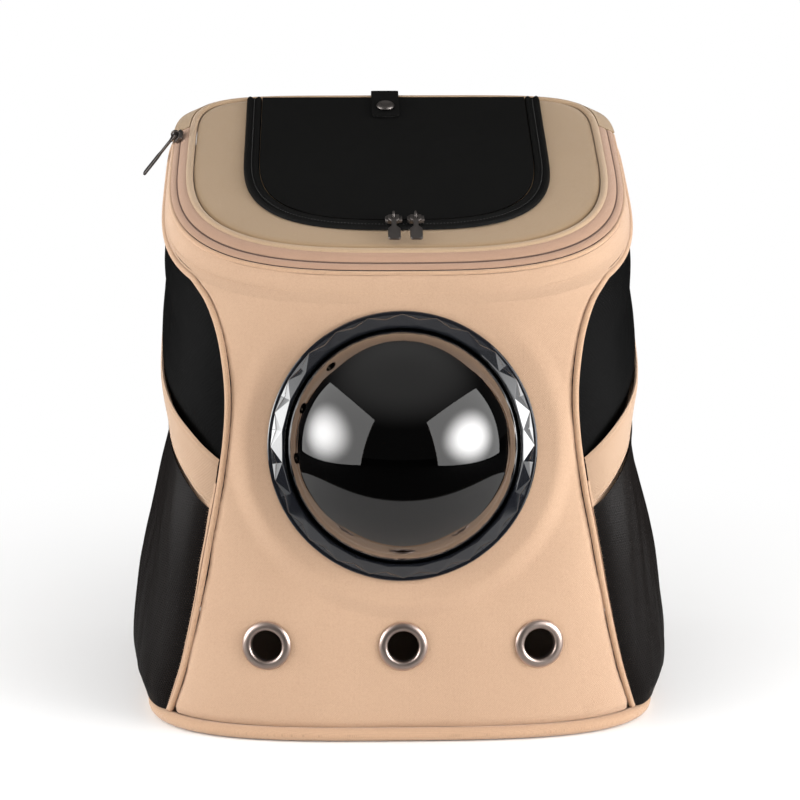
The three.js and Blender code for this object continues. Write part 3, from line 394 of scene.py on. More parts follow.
def tube(path, radius, around=12, closed=False, notch=None):
    """Round cord along a path, with its radius changed along it by notch()."""
    path = np.asarray(path, float)
    _, sides, others = frames_along(path, closed)
    count = len(path) if closed else len(path) - 1

    def place(u, v):
        k = np.rint(v * count).astype(int) % len(path)
        turn = TAU * u
        size = radius if notch is None else radius * notch(k)
        return (path[k] + (np.cos(turn) * size)[:, None] * sides[k]
                + (np.sin(turn) * size)[:, None] * others[k])
    return close_up(placed_grid(around, count, place, closed_u=True, closed_v=closed))


def even_path(points, step, closed=False):
    """The same path at even steps."""
    points = np.asarray(points, float)
    if closed:
        points = np.vstack((points, points[:1]))
    length = np.concatenate(([0], np.linalg.norm(np.diff(points, axis=0), axis=1).cumsum()))
    count = max(int(round(length[-1] / step)), 4)
    at = np.linspace(0, length[-1], count + 1)
    path = np.stack([np.interp(at, length, points[:, k]) for k in range(3)], axis=1)
    return path[:-1] if closed else path


def strip(path, across, width, profile):
    """Band along a path. profile() gives the section at shares round it, as shares of half
    width and as height, in millimetres, for a share along the band."""
    path = np.asarray(path, float)
    tangent, _, _ = frames_along(path)
    side = np.broadcast_to(np.asarray(across, float), path.shape)
    side = side - tangent * (side * tangent).sum(1)[:, None]
    side /= np.linalg.norm(side, axis=1)[:, None]
    lift = np.cross(side, tangent)
    count = len(path) - 1

    def place(u, v):
        k = np.rint(v * count).astype(int)
        x, y = profile(u, v)
        half = (width(v) if callable(width) else width) / 2
        return path[k] + (x * half)[:, None] * side[k] + y[:, None] * lift[k]
    return close_up(placed_grid(32, count, place, closed_u=True))


def rounded_section(thickness, square=6.0):
    """Section of a flat band with rounded edges, thickness millimetres thick."""
    def profile(u, v):
        turn = TAU * u
        thick = thickness(v) if callable(thickness) else thickness
        x = np.sign(np.cos(turn)) * np.abs(np.cos(turn)) ** (2 / square)
        y = np.sign(np.sin(turn)) * np.abs(np.sin(turn)) ** (2 / square)
        return x, y * thick / 2
    return profile


def local_frame(centre, normal):
    normal = Vector(normal).normalized()
    side = Vector((0, 0, 1)).cross(normal).normalized()
    upward = normal.cross(side)
    turn = Matrix((side, upward, normal)).transposed().to_4x4()
    return Matrix.Translation(Vector(centre) * MM) @ turn


def spun(profile, steps, matrix, closed=True):
    """Ring or cap turned about the frame's Z from radius and height in millimetres."""
    body = bmesh.new()
    corners = [body.verts.new((r * MM, 0, h * MM)) for r, h in profile]
    pairs = list(zip(corners, corners[1:] + (corners[:1] if closed else [])))
    edges = [body.edges.new(pair) for pair in pairs]
    bmesh.ops.spin(body, geom=corners + edges, cent=(0, 0, 0), axis=(0, 0, 1),
                   angle=TAU, steps=steps, use_merge=True)
    bmesh.ops.remove_doubles(body, verts=body.verts, dist=1e-6)
    bmesh.ops.recalc_face_normals(body, faces=body.faces)
    bmesh.ops.transform(body, matrix=matrix, verts=body.verts)
    return body


def bevel_edges(body, angle, width):
    """Rounds the edges that turn by more than an angle in degrees."""
    turned = [e for e in body.edges
              if len(e.link_faces) == 2 and e.calc_face_angle(0) > math.radians(angle)]
    bmesh.ops.bevel(body, geom=turned, offset=width * MM, segments=2, profile=0.5,
                    affect="EDGES", material=-1, clamp_overlap=True)


def mirrored(body):
    """The same piece on the left."""
    copy = body.copy()
    bmesh.ops.scale(copy, vec=(-1, 1, 1), verts=copy.verts)
    bmesh.ops.reverse_faces(copy, faces=copy.faces)
    return copy


def make(name, body, finish, nodes=(), on="case", thick=0.0, crisp=40, shade_lining=None):
    """Turns a bmesh into a finished piece of the scene that rides on a body."""
    mesh = bpy.data.meshes.new(name)
    body.to_mesh(mesh)
    body.free()
    piece = bpy.data.objects.new(name, mesh)
    bpy.context.scene.collection.objects.link(piece)
    if thick:
        cloth = piece.modifiers.new("wall", "SOLIDIFY")
        cloth.thickness, cloth.offset = thick * MM, -1
        # A second finish on the inner faces is painted shade that darkens the inside of the case.
        cloth.material_offset = 1 if shade_lining else 0
        for material, _ in (finish, shade_lining) if shade_lining else ():
            mesh.materials.append(material)
        shown = piece.evaluated_get(bpy.context.evaluated_depsgraph_get())
        final = bpy.data.meshes.new_from_object(shown)
        piece.modifiers.clear()
        piece.data = final
        bpy.data.meshes.remove(mesh)
        final.name = name
    mesh = piece.data
    mesh.shade_smooth()
    mesh.set_sharp_from_angle(angle=math.radians(crisp))
    material, slot = finish
    if not shade_lining:
        mesh.materials.clear()
        mesh.materials.append(material)
    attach(piece, on)
    if nodes:
        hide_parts(*nodes)
    return piece


def pair(name, body, finish, node=None, **options):
    """A piece on the right and its mirror on the left."""
    other = mirrored(body)
    found = []
    for side, shape in (("right", body), ("left", other)):
        nodes = (f"{side}_{node}",) if node else ()
        found.append(make(f"{side}_{name}", shape, finish, nodes, **options))
    return found


# Materials
def new_group(name, inputs, outputs):
    """An empty shader group with named sockets. inputs holds name, kind and value."""
    group = bpy.data.node_groups.new(name, "ShaderNodeTree")
    for label, kind, value in inputs:
        socket = group.interface.new_socket(label, in_out="INPUT", socket_type=kind)
        if value is not None:
            socket.default_value = value
    for label, kind in outputs:
        group.interface.new_socket(label, in_out="OUTPUT", socket_type=kind)
    start = group.nodes.new("NodeGroupInput")
    end = group.nodes.new("NodeGroupOutput")
    return group, start, end


def feed(tree, socket, value):
    """Joins a socket to another, or sets its value."""
    if isinstance(value, bpy.types.NodeSocket):
        tree.links.new(value, socket)
    elif value is not None:
        socket.default_value = value


def maths(tree, operation, *values, clamp=False):
    node = tree.nodes.new("ShaderNodeMath")
    node.operation, node.use_clamp = operation, clamp
    for socket, value in zip(node.inputs, values):
        feed(tree, socket, value)
    return node.outputs[0]


def noise(tree, vector, scale, detail=2.0, roughness=0.5, distortion=0.0):
    node = tree.nodes.new("ShaderNodeTexNoise")
    feed(tree, node.inputs["Vector"], vector)
    node.inputs["Scale"].default_value = scale
    node.inputs["Detail"].default_value = detail
    node.inputs["Roughness"].default_value = roughness
    node.inputs["Distortion"].default_value = distortion
    return node.outputs["Fac"]


def mix_colour(tree, share, low, high, how="MIX"):
    node = tree.nodes.new("ShaderNodeMix")
    node.data_type, node.blend_type = "RGBA", how
    feed(tree, node.inputs["Factor"], share)
    feed(tree, node.inputs["A"], low)
    feed(tree, node.inputs["B"], high)
    return node.outputs["Result"]


def grey(tree, value):
    """A grey of one value, to multiply a colour by."""
    node = tree.nodes.new("ShaderNodeCombineColor")
    for socket in node.inputs:
        tree.links.new(value, socket)
    return node.outputs[0]


def ramp(tree, value, low, high, to_low=0.0, to_high=1.0):
    node = tree.nodes.new("ShaderNodeMapRange")
    node.interpolation_type = "SMOOTHSTEP"
    for label, given in zip(("Value", "From Min", "From Max", "To Min", "To Max"),
                            (value, low, high, to_low, to_high)):
        feed(tree, node.inputs[label], given)
    return node.outputs["Result"]


VECTOR, COLOUR, FLOAT = "NodeSocketVector", "NodeSocketColor", "NodeSocketFloat"


def make_weave_group():
    """Plain weave: threads over and under each other, some thicker than others."""
    group, start, end = new_group(
        "plain_weave",
        [("Vector", VECTOR, None), ("Threads per Metre", FLOAT, 1200.0), ("Slub", FLOAT, 0.3)],
        [("Height", FLOAT), ("Thread", FLOAT)])
    split = group.nodes.new("ShaderNodeSeparateXYZ")
    group.links.new(start.outputs["Vector"], split.inputs[0])
    waves, halves = [], []
    for axis in ("X", "Y"):
        at = maths(group, "MULTIPLY", split.outputs[axis], start.outputs["Threads per Metre"])
        turn = maths(group, "MULTIPLY", at, math.pi)
        waves.append(maths(group, "ABSOLUTE", maths(group, "SINE", turn)))
        halves.append(maths(group, "FLOOR", at))
    both = maths(group, "ADD", *halves)
    odd = maths(group, "PINGPONG", both, 1.0)
    over = maths(group, "MULTIPLY", waves[0], odd)
    under = maths(group, "MULTIPLY", waves[1], maths(group, "SUBTRACT", 1.0, odd))
    woven = maths(group, "ADD", over, under)
    slub = noise(group, start.outputs["Vector"], 420.0, 3.0, 0.6)
    uneven = maths(group, "MULTIPLY", maths(group, "SUBTRACT", slub, 0.5), start.outputs["Slub"])
    height = maths(group, "ADD", woven, uneven)
    group.links.new(height, end.inputs["Height"])
    group.links.new(maths(group, "ADD", woven, 0.0, clamp=True), end.inputs["Thread"])
    return group


def make_dye_group():
    """Uneven dye: broad light and dark areas with fine specks of thread."""
    group, start, end = new_group(
        "uneven_dye",
        [("Vector", VECTOR, None), ("Colour", COLOUR, (0.5, 0.5, 0.5, 1)),
         ("Deep Colour", COLOUR, (0.4, 0.4, 0.4, 1)), ("Broad", FLOAT, 0.3),
         ("Specks", FLOAT, 0.3)],
        [("Colour", COLOUR), ("Share", FLOAT)])
    broad = ramp(group, noise(group, start.outputs["Vector"], 9.0, 3.0, 0.55), 0.3, 0.75)
    specks = ramp(group, noise(group, start.outputs["Vector"], 900.0, 2.0, 0.7), 0.35, 0.8)
    total = maths(group, "ADD", maths(group, "MULTIPLY", broad, start.outputs["Broad"]),
                  maths(group, "MULTIPLY", specks, start.outputs["Specks"]), clamp=True)
    colour = mix_colour(group, total, start.outputs["Colour"], start.outputs["Deep Colour"])
    group.links.new(colour, end.inputs["Colour"])
    group.links.new(total, end.inputs["Share"])
    return group


def make_net_group():
    """Net: rows of round holes, each row half a step beside the last."""
    group, start, end = new_group(
        "net_holes",
        [("Vector", VECTOR, None), ("Holes per Metre", FLOAT, 520.0), ("Hole", FLOAT, 0.24),
         ("Softness", FLOAT, 0.06)],
        [("Cover", FLOAT), ("Height", FLOAT)])
    split = group.nodes.new("ShaderNodeSeparateXYZ")
    group.links.new(start.outputs["Vector"], split.inputs[0])
    scaled = [maths(group, "MULTIPLY", split.outputs[axis], start.outputs["Holes per Metre"])
              for axis in ("X", "Y")]
    row_pitch = 0.58
    wide = maths(group, "MULTIPLY", scaled[1], row_pitch)
    nearest = []
    for shift in (0.0, 0.5):
        cells = [maths(group, "FRACT", maths(group, "ADD", value, shift))
                 for value in (scaled[0], wide)]
        x, y = (maths(group, "SUBTRACT", cell, 0.5) for cell in cells)
        y = maths(group, "DIVIDE", y, row_pitch)
        squares = [maths(group, "MULTIPLY", away, away) for away in (x, y)]
        nearest.append(maths(group, "SQRT", maths(group, "ADD", *squares)))
    reach = maths(group, "MINIMUM", *nearest)
    outer = maths(group, "ADD", start.outputs["Hole"], start.outputs["Softness"])
    cover = ramp(group, reach, start.outputs["Hole"], outer)
    group.links.new(cover, end.inputs["Cover"])
    group.links.new(ramp(group, reach, start.outputs["Hole"], 0.55), end.inputs["Height"])
    return group


def make_scuff_group():
    """Fine scuffs: long thin scratches and faint smudges on metal and plastic."""
    group, start, end = new_group(
        "fine_scuffs",
        [("Vector", VECTOR, None), ("Roughness", FLOAT, 0.2), ("Smudge", FLOAT, 0.1),
         ("Scratch", FLOAT, 0.05)],
        [("Roughness", FLOAT), ("Height", FLOAT)])
    smudge = maths(group, "SUBTRACT", noise(group, start.outputs["Vector"], 60.0, 4.0, 0.6), 0.45)
    scratch = maths(group, "SUBTRACT",
                    noise(group, start.outputs["Vector"], 900.0, 3.0, 0.7, 1.5), 0.5)
    rough = maths(group, "ADD", start.outputs["Roughness"],
                  maths(group, "MULTIPLY", smudge, start.outputs["Smudge"]))
    rough = maths(group, "ADD", rough, maths(group, "MULTIPLY", scratch, start.outputs["Scratch"]),
                  clamp=True)
    group.links.new(rough, end.inputs["Roughness"])
    group.links.new(scratch, end.inputs["Height"])
    return group


WEAVE, DYE, NET, SCUFFS = make_weave_group(), make_dye_group(), make_net_group(), make_scuff_group()


def start_material(name, **plain):
    """A material with its Principled shader, and its plain sockets set by name."""
    material = bpy.data.materials.new(name)
    material.use_nodes = True
    tree = material.node_tree
    shader = tree.nodes["Principled BSDF"]
    for label, value in plain.items():
        shader.inputs[label.replace("_", " ")].default_value = value
    return material, tree, shader


def use_group(tree, group, **values):
    node = tree.nodes.new("ShaderNodeGroup")
    node.node_tree = group
    for label, value in values.items():
        feed(tree, node.inputs[label.replace("_", " ")], value)
    return node


def bumped(tree, shader, height, strength, distance):
    bump = tree.nodes.new("ShaderNodeBump")
    bump.inputs["Strength"].default_value = strength
    bump.inputs["Distance"].default_value = distance * MM
    feed(tree, bump.inputs["Height"], height)
    tree.links.new(bump.outputs["Normal"], shader.inputs["Normal"])


def cloth_finish(name, colour, deep, threads, roughness=0.85, sheen=0.25, depth=0.18,
                 broad=0.25, specks=0.35, pattern="cloth", net=None, puckers=0.0, shine=0.3):
    """Woven cloth on the piece's own UV map, or on Object coordinates for cords. net holds
    the holes per metre and their radius where the cloth is a mesh."""
    material, tree, shader = start_material(
        name, Roughness=roughness, Sheen_Weight=sheen, Sheen_Roughness=0.5,
        Specular_IOR_Level=shine)
    place = tree.nodes.new("ShaderNodeTexCoord").outputs["Object"]
    threads_at = place
    if pattern:
        uv = tree.nodes.new("ShaderNodeUVMap")
        uv.uv_map = pattern
        threads_at = uv.outputs["UV"]
    dye = use_group(tree, DYE, Vector=place, Colour=(*colour, 1), Deep_Colour=(*deep, 1),
                    Broad=broad, Specks=specks)
    weave = use_group(tree, WEAVE, Vector=threads_at, Threads_per_Metre=threads)
    shade = ramp(tree, weave.outputs["Thread"], 0.0, 0.6, 0.82, 1.0)
    woven = mix_colour(tree, 1.0, dye.outputs["Colour"], grey(tree, shade), "MULTIPLY")
    tree.links.new(woven, shader.inputs["Base Color"])
    height = weave.outputs["Height"]
    if puckers:
        wide = maths(tree, "MULTIPLY", noise(tree, place, 55.0, 3.0, 0.55), puckers)
        height = maths(tree, "ADD", height, wide)
    if net:
        holes = use_group(tree, NET, Vector=threads_at, Holes_per_Metre=net[0], Hole=net[1])
        cover = maths(tree, "MULTIPLY_ADD", holes.outputs["Cover"], 0.45, 0.55)
        tree.links.new(cover, shader.inputs["Alpha"])
        height = holes.outputs["Height"]
    bumped(tree, shader, height, 0.6, depth)
    return material


def hard_finish(name, colour, roughness, metallic=0.0, smudge=0.08, scratch=0.04, grain=0.004,
                **plain):
    """Metal or moulded plastic with fine scuffs."""
    material, tree, shader = start_material(name, Metallic=metallic, **plain)
    shader.inputs["Base Color"].default_value = (*colour, 1)
    place = tree.nodes.new("ShaderNodeTexCoord").outputs["Object"]
    scuffs = use_group(tree, SCUFFS, Vector=place, Roughness=roughness, Smudge=smudge,
                       Scratch=scratch)
    tone = ramp(tree, noise(tree, place, 35.0, 3.0, 0.6), 0.3, 0.7, 0.9, 1.06)
    toned = mix_colour(tree, 1.0, (*colour, 1), grey(tree, tone), "MULTIPLY")
    tree.links.new(toned, shader.inputs["Base Color"])
    tree.links.new(scuffs.outputs["Roughness"], shader.inputs["Roughness"])
    bumped(tree, shader, scuffs.outputs["Height"], 0.3, grain)
    return material


# Each finish: its material and its slot
CANVAS = (cloth_finish(
    "beige_canvas", (0.535, 0.352, 0.232), (0.465, 0.297, 0.193), 1300, puckers=0.9, broad=0.4,
    specks=0.6), "beige_canvas")
# The hems take a darker copy of the beige canvas: painted shade that dims them where the side
# softboxes light them strongly.
SHADED_HEM_CANVAS = (cloth_finish(
    "hem_canvas_painted_shade", (0.47, 0.315, 0.21), (0.41, 0.268, 0.176), 1300, puckers=0.9), "beige_canvas")
TRIM = (cloth_finish(
    "beige_piping", (0.52, 0.332, 0.21), (0.42, 0.255, 0.155), 1500, pattern=None), "beige_canvas")
OLIVE = (cloth_finish(
    "olive_canvas", (0.37, 0.248, 0.138), (0.31, 0.205, 0.112), 1300, puckers=0.5), "olive_canvas")
OLIVE_TRIM = (cloth_finish(
    "olive_piping", (0.46, 0.32, 0.2), (0.37, 0.25, 0.155), 1500, pattern=None), "olive_canvas")
TAPE_CLOTH = (cloth_finish(
    "zip_tape", (0.43, 0.262, 0.175), (0.35, 0.21, 0.137), 1900, depth=0.1, roughness=0.75),
    "zip_tape")
TAPE_COIL = (cloth_finish(
    "zip_coil", (0.13, 0.07, 0.047), (0.095, 0.05, 0.034), 1900, pattern=None, depth=0.05,
    roughness=0.5), "zip_tape")
BLACK = (cloth_finish(
    "black_cloth", (0.0042, 0.0041, 0.0038), (0.0026, 0.0025, 0.0023), 1500, roughness=0.6,
    sheen=0.0, broad=0.5, shine=0.18), "black_cloth")
NET_UPPER = (cloth_finish(
    "upper_net", (0.0035, 0.0035, 0.0035), (0.002, 0.002, 0.002), 1500, roughness=0.6, sheen=0.0,
    net=(520, 0.2), depth=0.1, shine=0.06), "black_mesh")
NET_POCKET = (cloth_finish(
    "pocket_net", (0.0075, 0.0055, 0.0048), (0.004, 0.003, 0.0026), 1500, roughness=0.5,
    sheen=0.0, net=(520, 0.22), depth=0.1, shine=0.16), "black_mesh")
# The back pad and straps take a lighter copy of the black cloth: painted light, so that they show
# where little light reaches them.
LIT_PADDING = (cloth_finish(
    "black_padding_lit", (0.016, 0.0155, 0.015), (0.010, 0.0098, 0.0095), 1300, roughness=0.7,
    sheen=0.08, depth=0.15, broad=0.4), "black_cloth")
WEB_CLOTH = (cloth_finish(
    "black_webbing", (0.020, 0.0195, 0.019), (0.012, 0.0118, 0.0115), 700, roughness=0.6,
    sheen=0.03, depth=0.3), "black_webbing")
THREAD = (cloth_finish(
    "beige_thread", (0.56, 0.36, 0.22), (0.48, 0.3, 0.18), 2500, pattern=None, depth=0.03),
    "beige_canvas")
BLACK_THREAD = (cloth_finish(
    "black_thread", (0.03, 0.029, 0.028), (0.02, 0.02, 0.02), 2500, pattern=None, depth=0.03),
    "black_cloth")
METAL = (hard_finish("gunmetal", (0.66, 0.53, 0.47), 0.36, 1.0, 0.12, 0.08), "gunmetal")
DARK_METAL = (hard_finish("dark_gunmetal", (0.20, 0.18, 0.17), 0.42, 1.0, 0.15, 0.1), "gunmetal")
GLOSS = (hard_finish(
    "black_gloss", (0.008, 0.009, 0.012), 0.07, 0.0, 0.04, 0.02, 0.002, Coat_Weight=1.0,
    Coat_Roughness=0.02, Coat_IOR=1.7, IOR=1.7), "black_gloss_plastic")
PLASTIC = (hard_finish(
    "black_plastic", (0.016, 0.016, 0.017), 0.42, 0.0, 0.1, 0.08, 0.02), "black_plastic")


def smoked_acrylic():
    material, tree, shader = start_material(
        "smoked_acrylic", Metallic=0.0, IOR=1.49, Transmission_Weight=1.0, Coat_Weight=1.0,
        Coat_Roughness=0.01, Coat_IOR=1.75)
    place = tree.nodes.new("ShaderNodeTexCoord").outputs["Object"]
    tint = mix_colour(tree, noise(tree, place, 12.0, 2.0), (0.060, 0.046, 0.036, 1),
                      (0.048, 0.038, 0.031, 1))
    tree.links.new(tint, shader.inputs["Base Color"])
    shader.inputs["Roughness"].default_value = 0.015
    return material


SMOKED = (smoked_acrylic(), "smoked_dome")


# The case
def window_frame(height=0.0):
    return local_frame(WINDOW_CENTRE + WINDOW_NORMAL * height, WINDOW_NORMAL)


def vent_place(k):
    x = (k - 1) * VENT_SPACING
    up, angle = VENT_HEIGHT / FRONT_HEIGHT, 0.0
    for _ in range(4):
        angle = math.copysign(float(angle_at_width(up, abs(x))), x) if x else 0.0
        up = up_at_height(VENT_HEIGHT, angle)
    step = 0.01
    across = wall(up, angle + step) - wall(up, angle - step)
    upward = wall(up + step, angle) - wall(up - step, angle)
    normal = np.cross(across, upward)
    return wall(up, angle), normal / np.linalg.norm(normal)


VENTS = [vent_place(k) for k in range(3)]


def cut_round(cloth, centre, normal, radius):
    """Round hole: drops the faces inside it and draws its edge to the circle."""
    centre, normal = Vector(centre) * MM, Vector(normal)
    radius *= MM
    inside = set()
    for vert in cloth.verts:
        away = vert.co - centre
        height = away.dot(normal)
        if abs(height) < 0.02 and (away - normal * height).length < radius:
            inside.add(vert)
    gone = [f for f in cloth.faces if all(v in inside for v in f.verts)]
    bmesh.ops.delete(cloth, geom=gone, context="FACES")
    for vert in inside:
        if vert.is_valid:
            away = vert.co - centre
            height = away.dot(normal)
            flat = away - normal * height
            vert.co = centre + normal * height + flat.normalized() * radius


def front_place(u, v):
    row = np.interp(v, (0, 0.8, 0.93, 1), (0, RISE_ROWS, SEAM_ROWS, SEAM_ROWS + RIM_ROWS))
    side = 2 * u - 1
    limit_up, limit_angle = beside(np.minimum(row, SEAM_ROWS), -SEAM_EDGE)
    nominal = np.interp(np.minimum(row, SEAM_ROWS), SEAM_TABLE, PLACE_TABLE[0])
    up = lerp(nominal, limit_up, np.abs(side) ** 3)
    last = beside(SEAM_ROWS, -SEAM_EDGE)[0]
    rim_up = lerp(last, 1.0, (row - SEAM_ROWS) / RIM_ROWS)
    on_rim = row > SEAM_ROWS
    up = np.where(on_rim, rim_up, up)
    angle = np.where(on_rim, side * (back_seam_angle(rim_up) - BACK_SEAM_GAP / BASE_HALF),
                     side * limit_angle)
    point = wall(up, angle)
    # The cloth rolls in at its seams, and its padding is a little uneven
    beside_edge = (1 - np.abs(side)) * np.abs(limit_angle) * PER_ANGLE
    from_foot = (up - FOOT_UP) * FRONT_HEIGHT
    from_rim = (1 - up) * FRONT_HEIGHT
    roll = (1.3 * np.exp(-(beside_edge / 2.2) ** 2) + 1.4 * np.exp(-(from_foot / 2.5) ** 2)
            + 0.3 * np.exp(-(from_rim / 1.2) ** 2))
    pull = 0.35 * np.exp(-beside_edge / 9) * ripple(point[:, 2], point[:, 1], 3, 17)
    soft = 0.45 * ripple(point[:, 0], point[:, 2], 1, 95) + pull
    to_window = np.linalg.norm(point - WINDOW_CENTRE, axis=1)
    still = ease(to_window, FLANGE + 2, FLANGE + 30)
    for centre, _ in VENTS:
        still = still * ease(np.linalg.norm(point - centre, axis=1), VENT, VENT + 12)
    pressed = sum(0.5 * np.exp(-((np.linalg.norm(point - centre, axis=1) - VENT) / 3.5) ** 2)
                  for centre, _ in VENTS)
    return wall(up, angle, soft * still - roll - 0.3 * ease(from_rim, 0, 8) - pressed * 0.6)


front = placed_grid(190, 170, front_place)
cut_round(front, WINDOW_CENTRE, WINDOW_NORMAL, BUBBLE - BUBBLE_WALL + COLLAR_DEPTH + GAP)
for vent_centre, vent_normal in VENTS:
    cut_round(front, vent_centre, vent_normal, VENT_BORE + VENT_ROLL + GAP)
# Black on the front cloth's inner faces is painted shade, so the inside of the case and the vent
# bores look dark.
front_cloth = make("front_cloth", face_out(front), CANVAS, ["front_panel"], thick=CLOTH - 0.4,
                   shade_lining=BLACK)

seam_row = np.linspace(0, SEAM_ROWS, 240)
seam_up, seam_angle = seam_place(seam_row)
seam_line = wall(np.maximum(seam_up, PIPING_FOOT), seam_angle, -0.6)
pair("seam_piping", tube(even_path(seam_line, 2.0), PIPING, 14), TRIM, "front_piping")


def mesh_skin(u, v):
    """Net of the upper side: it sags a little, and its foot lies under the hem."""
    up, angle = mesh_place(v, u)
    hold = np.sin(math.pi * u) ** 0.5 * np.sin(math.pi * v) ** 0.5
    sag = (1.1 * ripple(u * SIDE_SPAN, v * MESH_RISE, 5, 75)
           - 1.6 * ease(v, 0, 0.5) * (1 - ease(v, 0.5, 1)))
    cover = (1.6 * ease(u, 0.12, 0.4) * (1 - ease(u, 0.9, 1)) * (1 - ease(v, 0.75, 1))
             * ease(v, 0.15, 0.3))
    under_hem = 1.4 * (1 - ease(v, 0.1, 0.19))
    return wall(up, angle, sag * hold * ease(v, 0.12, 0.3) + cover - under_hem - 0.1)


upper_nets = pair("upper_net", face_out(placed_grid(90, 60, mesh_skin)), NET_UPPER, "side_mesh",
                  thick=0.7)


def side_wall_skin(u, v):
    """Cloth of the lower side, behind the pocket."""
    top = MESH_START - 0.003 + hem_lift(u)
    up, angle = side_place(lerp(FOOT_UP, top, v), u)
    return wall(up, angle, 0.3 * ripple(u * SIDE_SPAN, v * WALL_RISE, 2, 80) - 0.6)


side_walls = pair("side_wall_cloth", face_out(placed_grid(70, 50, side_wall_skin)), CANVAS,
                  "side_wall", thick=CLOTH - 0.8)


def pocket_place(u, v):
    return side_place(lerp(FOOT_UP + 0.002, POCKET_UP + hem_lift(u), v), u)


def pocket_skin(seed):
    """Gathered net: folds run up from its foot and fan out below the hem."""
    def place(u, v):
        up, angle = pocket_place(u, v)
        bulge = (POCKET_BULGE * column(POCKET, 1, v)
                 * lerp(swell(u), mouth_swell(u), ease(v, 0.4, 1)))
        fade = np.sin(math.pi * np.clip(v, 0, 1)) ** 0.35 * swell(u)
        fan = u * POCKET_SPAN + (v - 0.5) * 30 * (u - 0.45)
        folds = 3.0 * ripple(fan, v * 22, seed, 40) + 1.7 * ripple(fan, v * 8, seed + 4, 14)
        slump = (1.2 * np.exp(-((v - 0.08) / 0.07) ** 2)
                 * ripple(u * POCKET_SPAN, v * 0, seed + 2, 60))
        room = np.clip(bulge / 6, 0, 1)
        skin = ((POCKET_GAP + MESH) * ease(u, -0.02, 0.04) + bulge
                + (folds * 0.75 + slump - 1.2) * fade * room)
        return wall(up, angle, np.maximum(skin, 0.4 + 0.9 * ease(u, 0, 0.05)))
    return place


right_pocket = face_out(placed_grid(110, 80, pocket_skin(7)))
left_pocket = mirrored(placed_grid(110, 80, pocket_skin(3)))
pockets = [make("right_pocket_net", right_pocket, NET_POCKET, ["right_pocket"], thick=0.7),
           make("left_pocket_net", face_out(left_pocket), NET_POCKET, ["left_pocket"], thick=0.7)]


def hem_skin(seed):
    """Beige band along the pocket's mouth, its edges turned in."""
    def place(u, v):
        up, angle = side_place(lerp(HEM_LOW, HEM_TOP, v) + hem_lift(u), u)
        edge = np.minimum(v, 1 - v) * HEM_WIDTH
        turned = 0.8 * np.exp(-(edge / 1.1) ** 2)
        stitched = 0.35 * np.exp(-((edge - 3.2) / 0.9) ** 2)
        stand = HEM_STAND * (1 - 0.18 * v) * mouth_swell(u)
        waves = 0.7 * ripple(u * POCKET_SPAN, v * HEM_WIDTH, seed, 48) * mouth_swell(u)
        thick = GAP + HEM_CLOTH * ease(u, -0.02, 0.05) * (1 - 0.75 * ease(u, 0.1, 0.4))
        return wall(up, angle, thick + stand + waves - turned - stitched - 0.1)
    return place


RIGHT_HEM_WAVES, LEFT_HEM_WAVES = 2, 6
right_hem = face_out(placed_grid(150, 36, hem_skin(RIGHT_HEM_WAVES)))
left_hem = face_out(mirrored(placed_grid(150, 36, hem_skin(LEFT_HEM_WAVES))))
hems = [make("right_hem", right_hem, SHADED_HEM_CANVAS, ["right_pocket_hem"], thick=1.4),
        make("left_hem", left_hem, SHADED_HEM_CANVAS, ["left_pocket_hem"], thick=1.4)]


def back_skin(u, v):
    """Padded back with two sewn channels up it."""
    up = lerp(FOOT_UP, 1.0, v)
    start = back_seam_angle(up) + BACK_SEAM_GAP / BASE_HALF
    angle = lerp(start, TAU - start, u)
    point = wall(up, angle)
    edge = np.minimum(np.minimum(u, 1 - u) * BACK_SPAN, np.minimum(v, 1 - v) * BACK_RISE)
    channel = sum(np.exp(-((point[:, 0] - x) / 2.2) ** 2) for x in (-BACK_CHANNEL, BACK_CHANNEL))
    channel = channel * ease(edge, BACK_BORDER, 30)
    frame_line = np.exp(-((edge - BACK_BORDER) / 2.0) ** 2)
    soft = 0.5 * ripple(point[:, 0], point[:, 2], 9, 70)
    sunk = 1.5 * np.clip(channel + frame_line, 0, 1) + 0.9 * np.exp(-(edge / 2.5) ** 2)
    return wall(up, angle, soft * ease(edge, 20, 40) - sunk - 0.2)


back_pad = make("back_pad", face_out(placed_grid(130, 160, back_skin)), LIT_PADDING, ["back_panel"],
                thick=BACK_PAD - 2.2)


def base_point(angle, share, height):
    inset = -(WELT_INSET + WELT + GAP)
    x, y = outline_point(plan_at(0.0, inset), angle)
    y = np.minimum(y, BACK + inset)
    return points_of(x * share, PAD_CENTRE + (y - PAD_CENTRE) * share, height)


def base_skin(u, v):
    """The base's pad: flat below, its edge rolled up to a flat top."""
    shares = np.interp(v, (0, 0.44, 0.48, 0.52, 0.56, 1), (0, 0.985, 1, 1, 0.985, 0))
    height = np.interp(v, (0, 0.44, 0.48, 0.52, 0.56, 1),
                       (0, 0, 0.9, BASE_PAD - 0.9, BASE_PAD - 0.1, BASE_PAD - 0.1))
    return base_point(TAU * u, shares, height)


base_pad = make("base_pad", close_up(placed_grid(120, 50, base_skin, uv=lambda p: p[:, :2],
                                                 closed_u=True)), CANVAS, ["base_panel"])


def welt_line():
    angle = np.linspace(0, TAU, 721)[:-1]
    x, y = outline_point(plan_at(0.0, -WELT_INSET), angle)
    return even_path(points_of(x, np.minimum(y, BACK - WELT_INSET), WELT), 2.4, closed=True)


welt = welt_line()
make("base_welt_piping", tube(welt, WELT, 18, closed=True), TRIM, ["base_welt"])


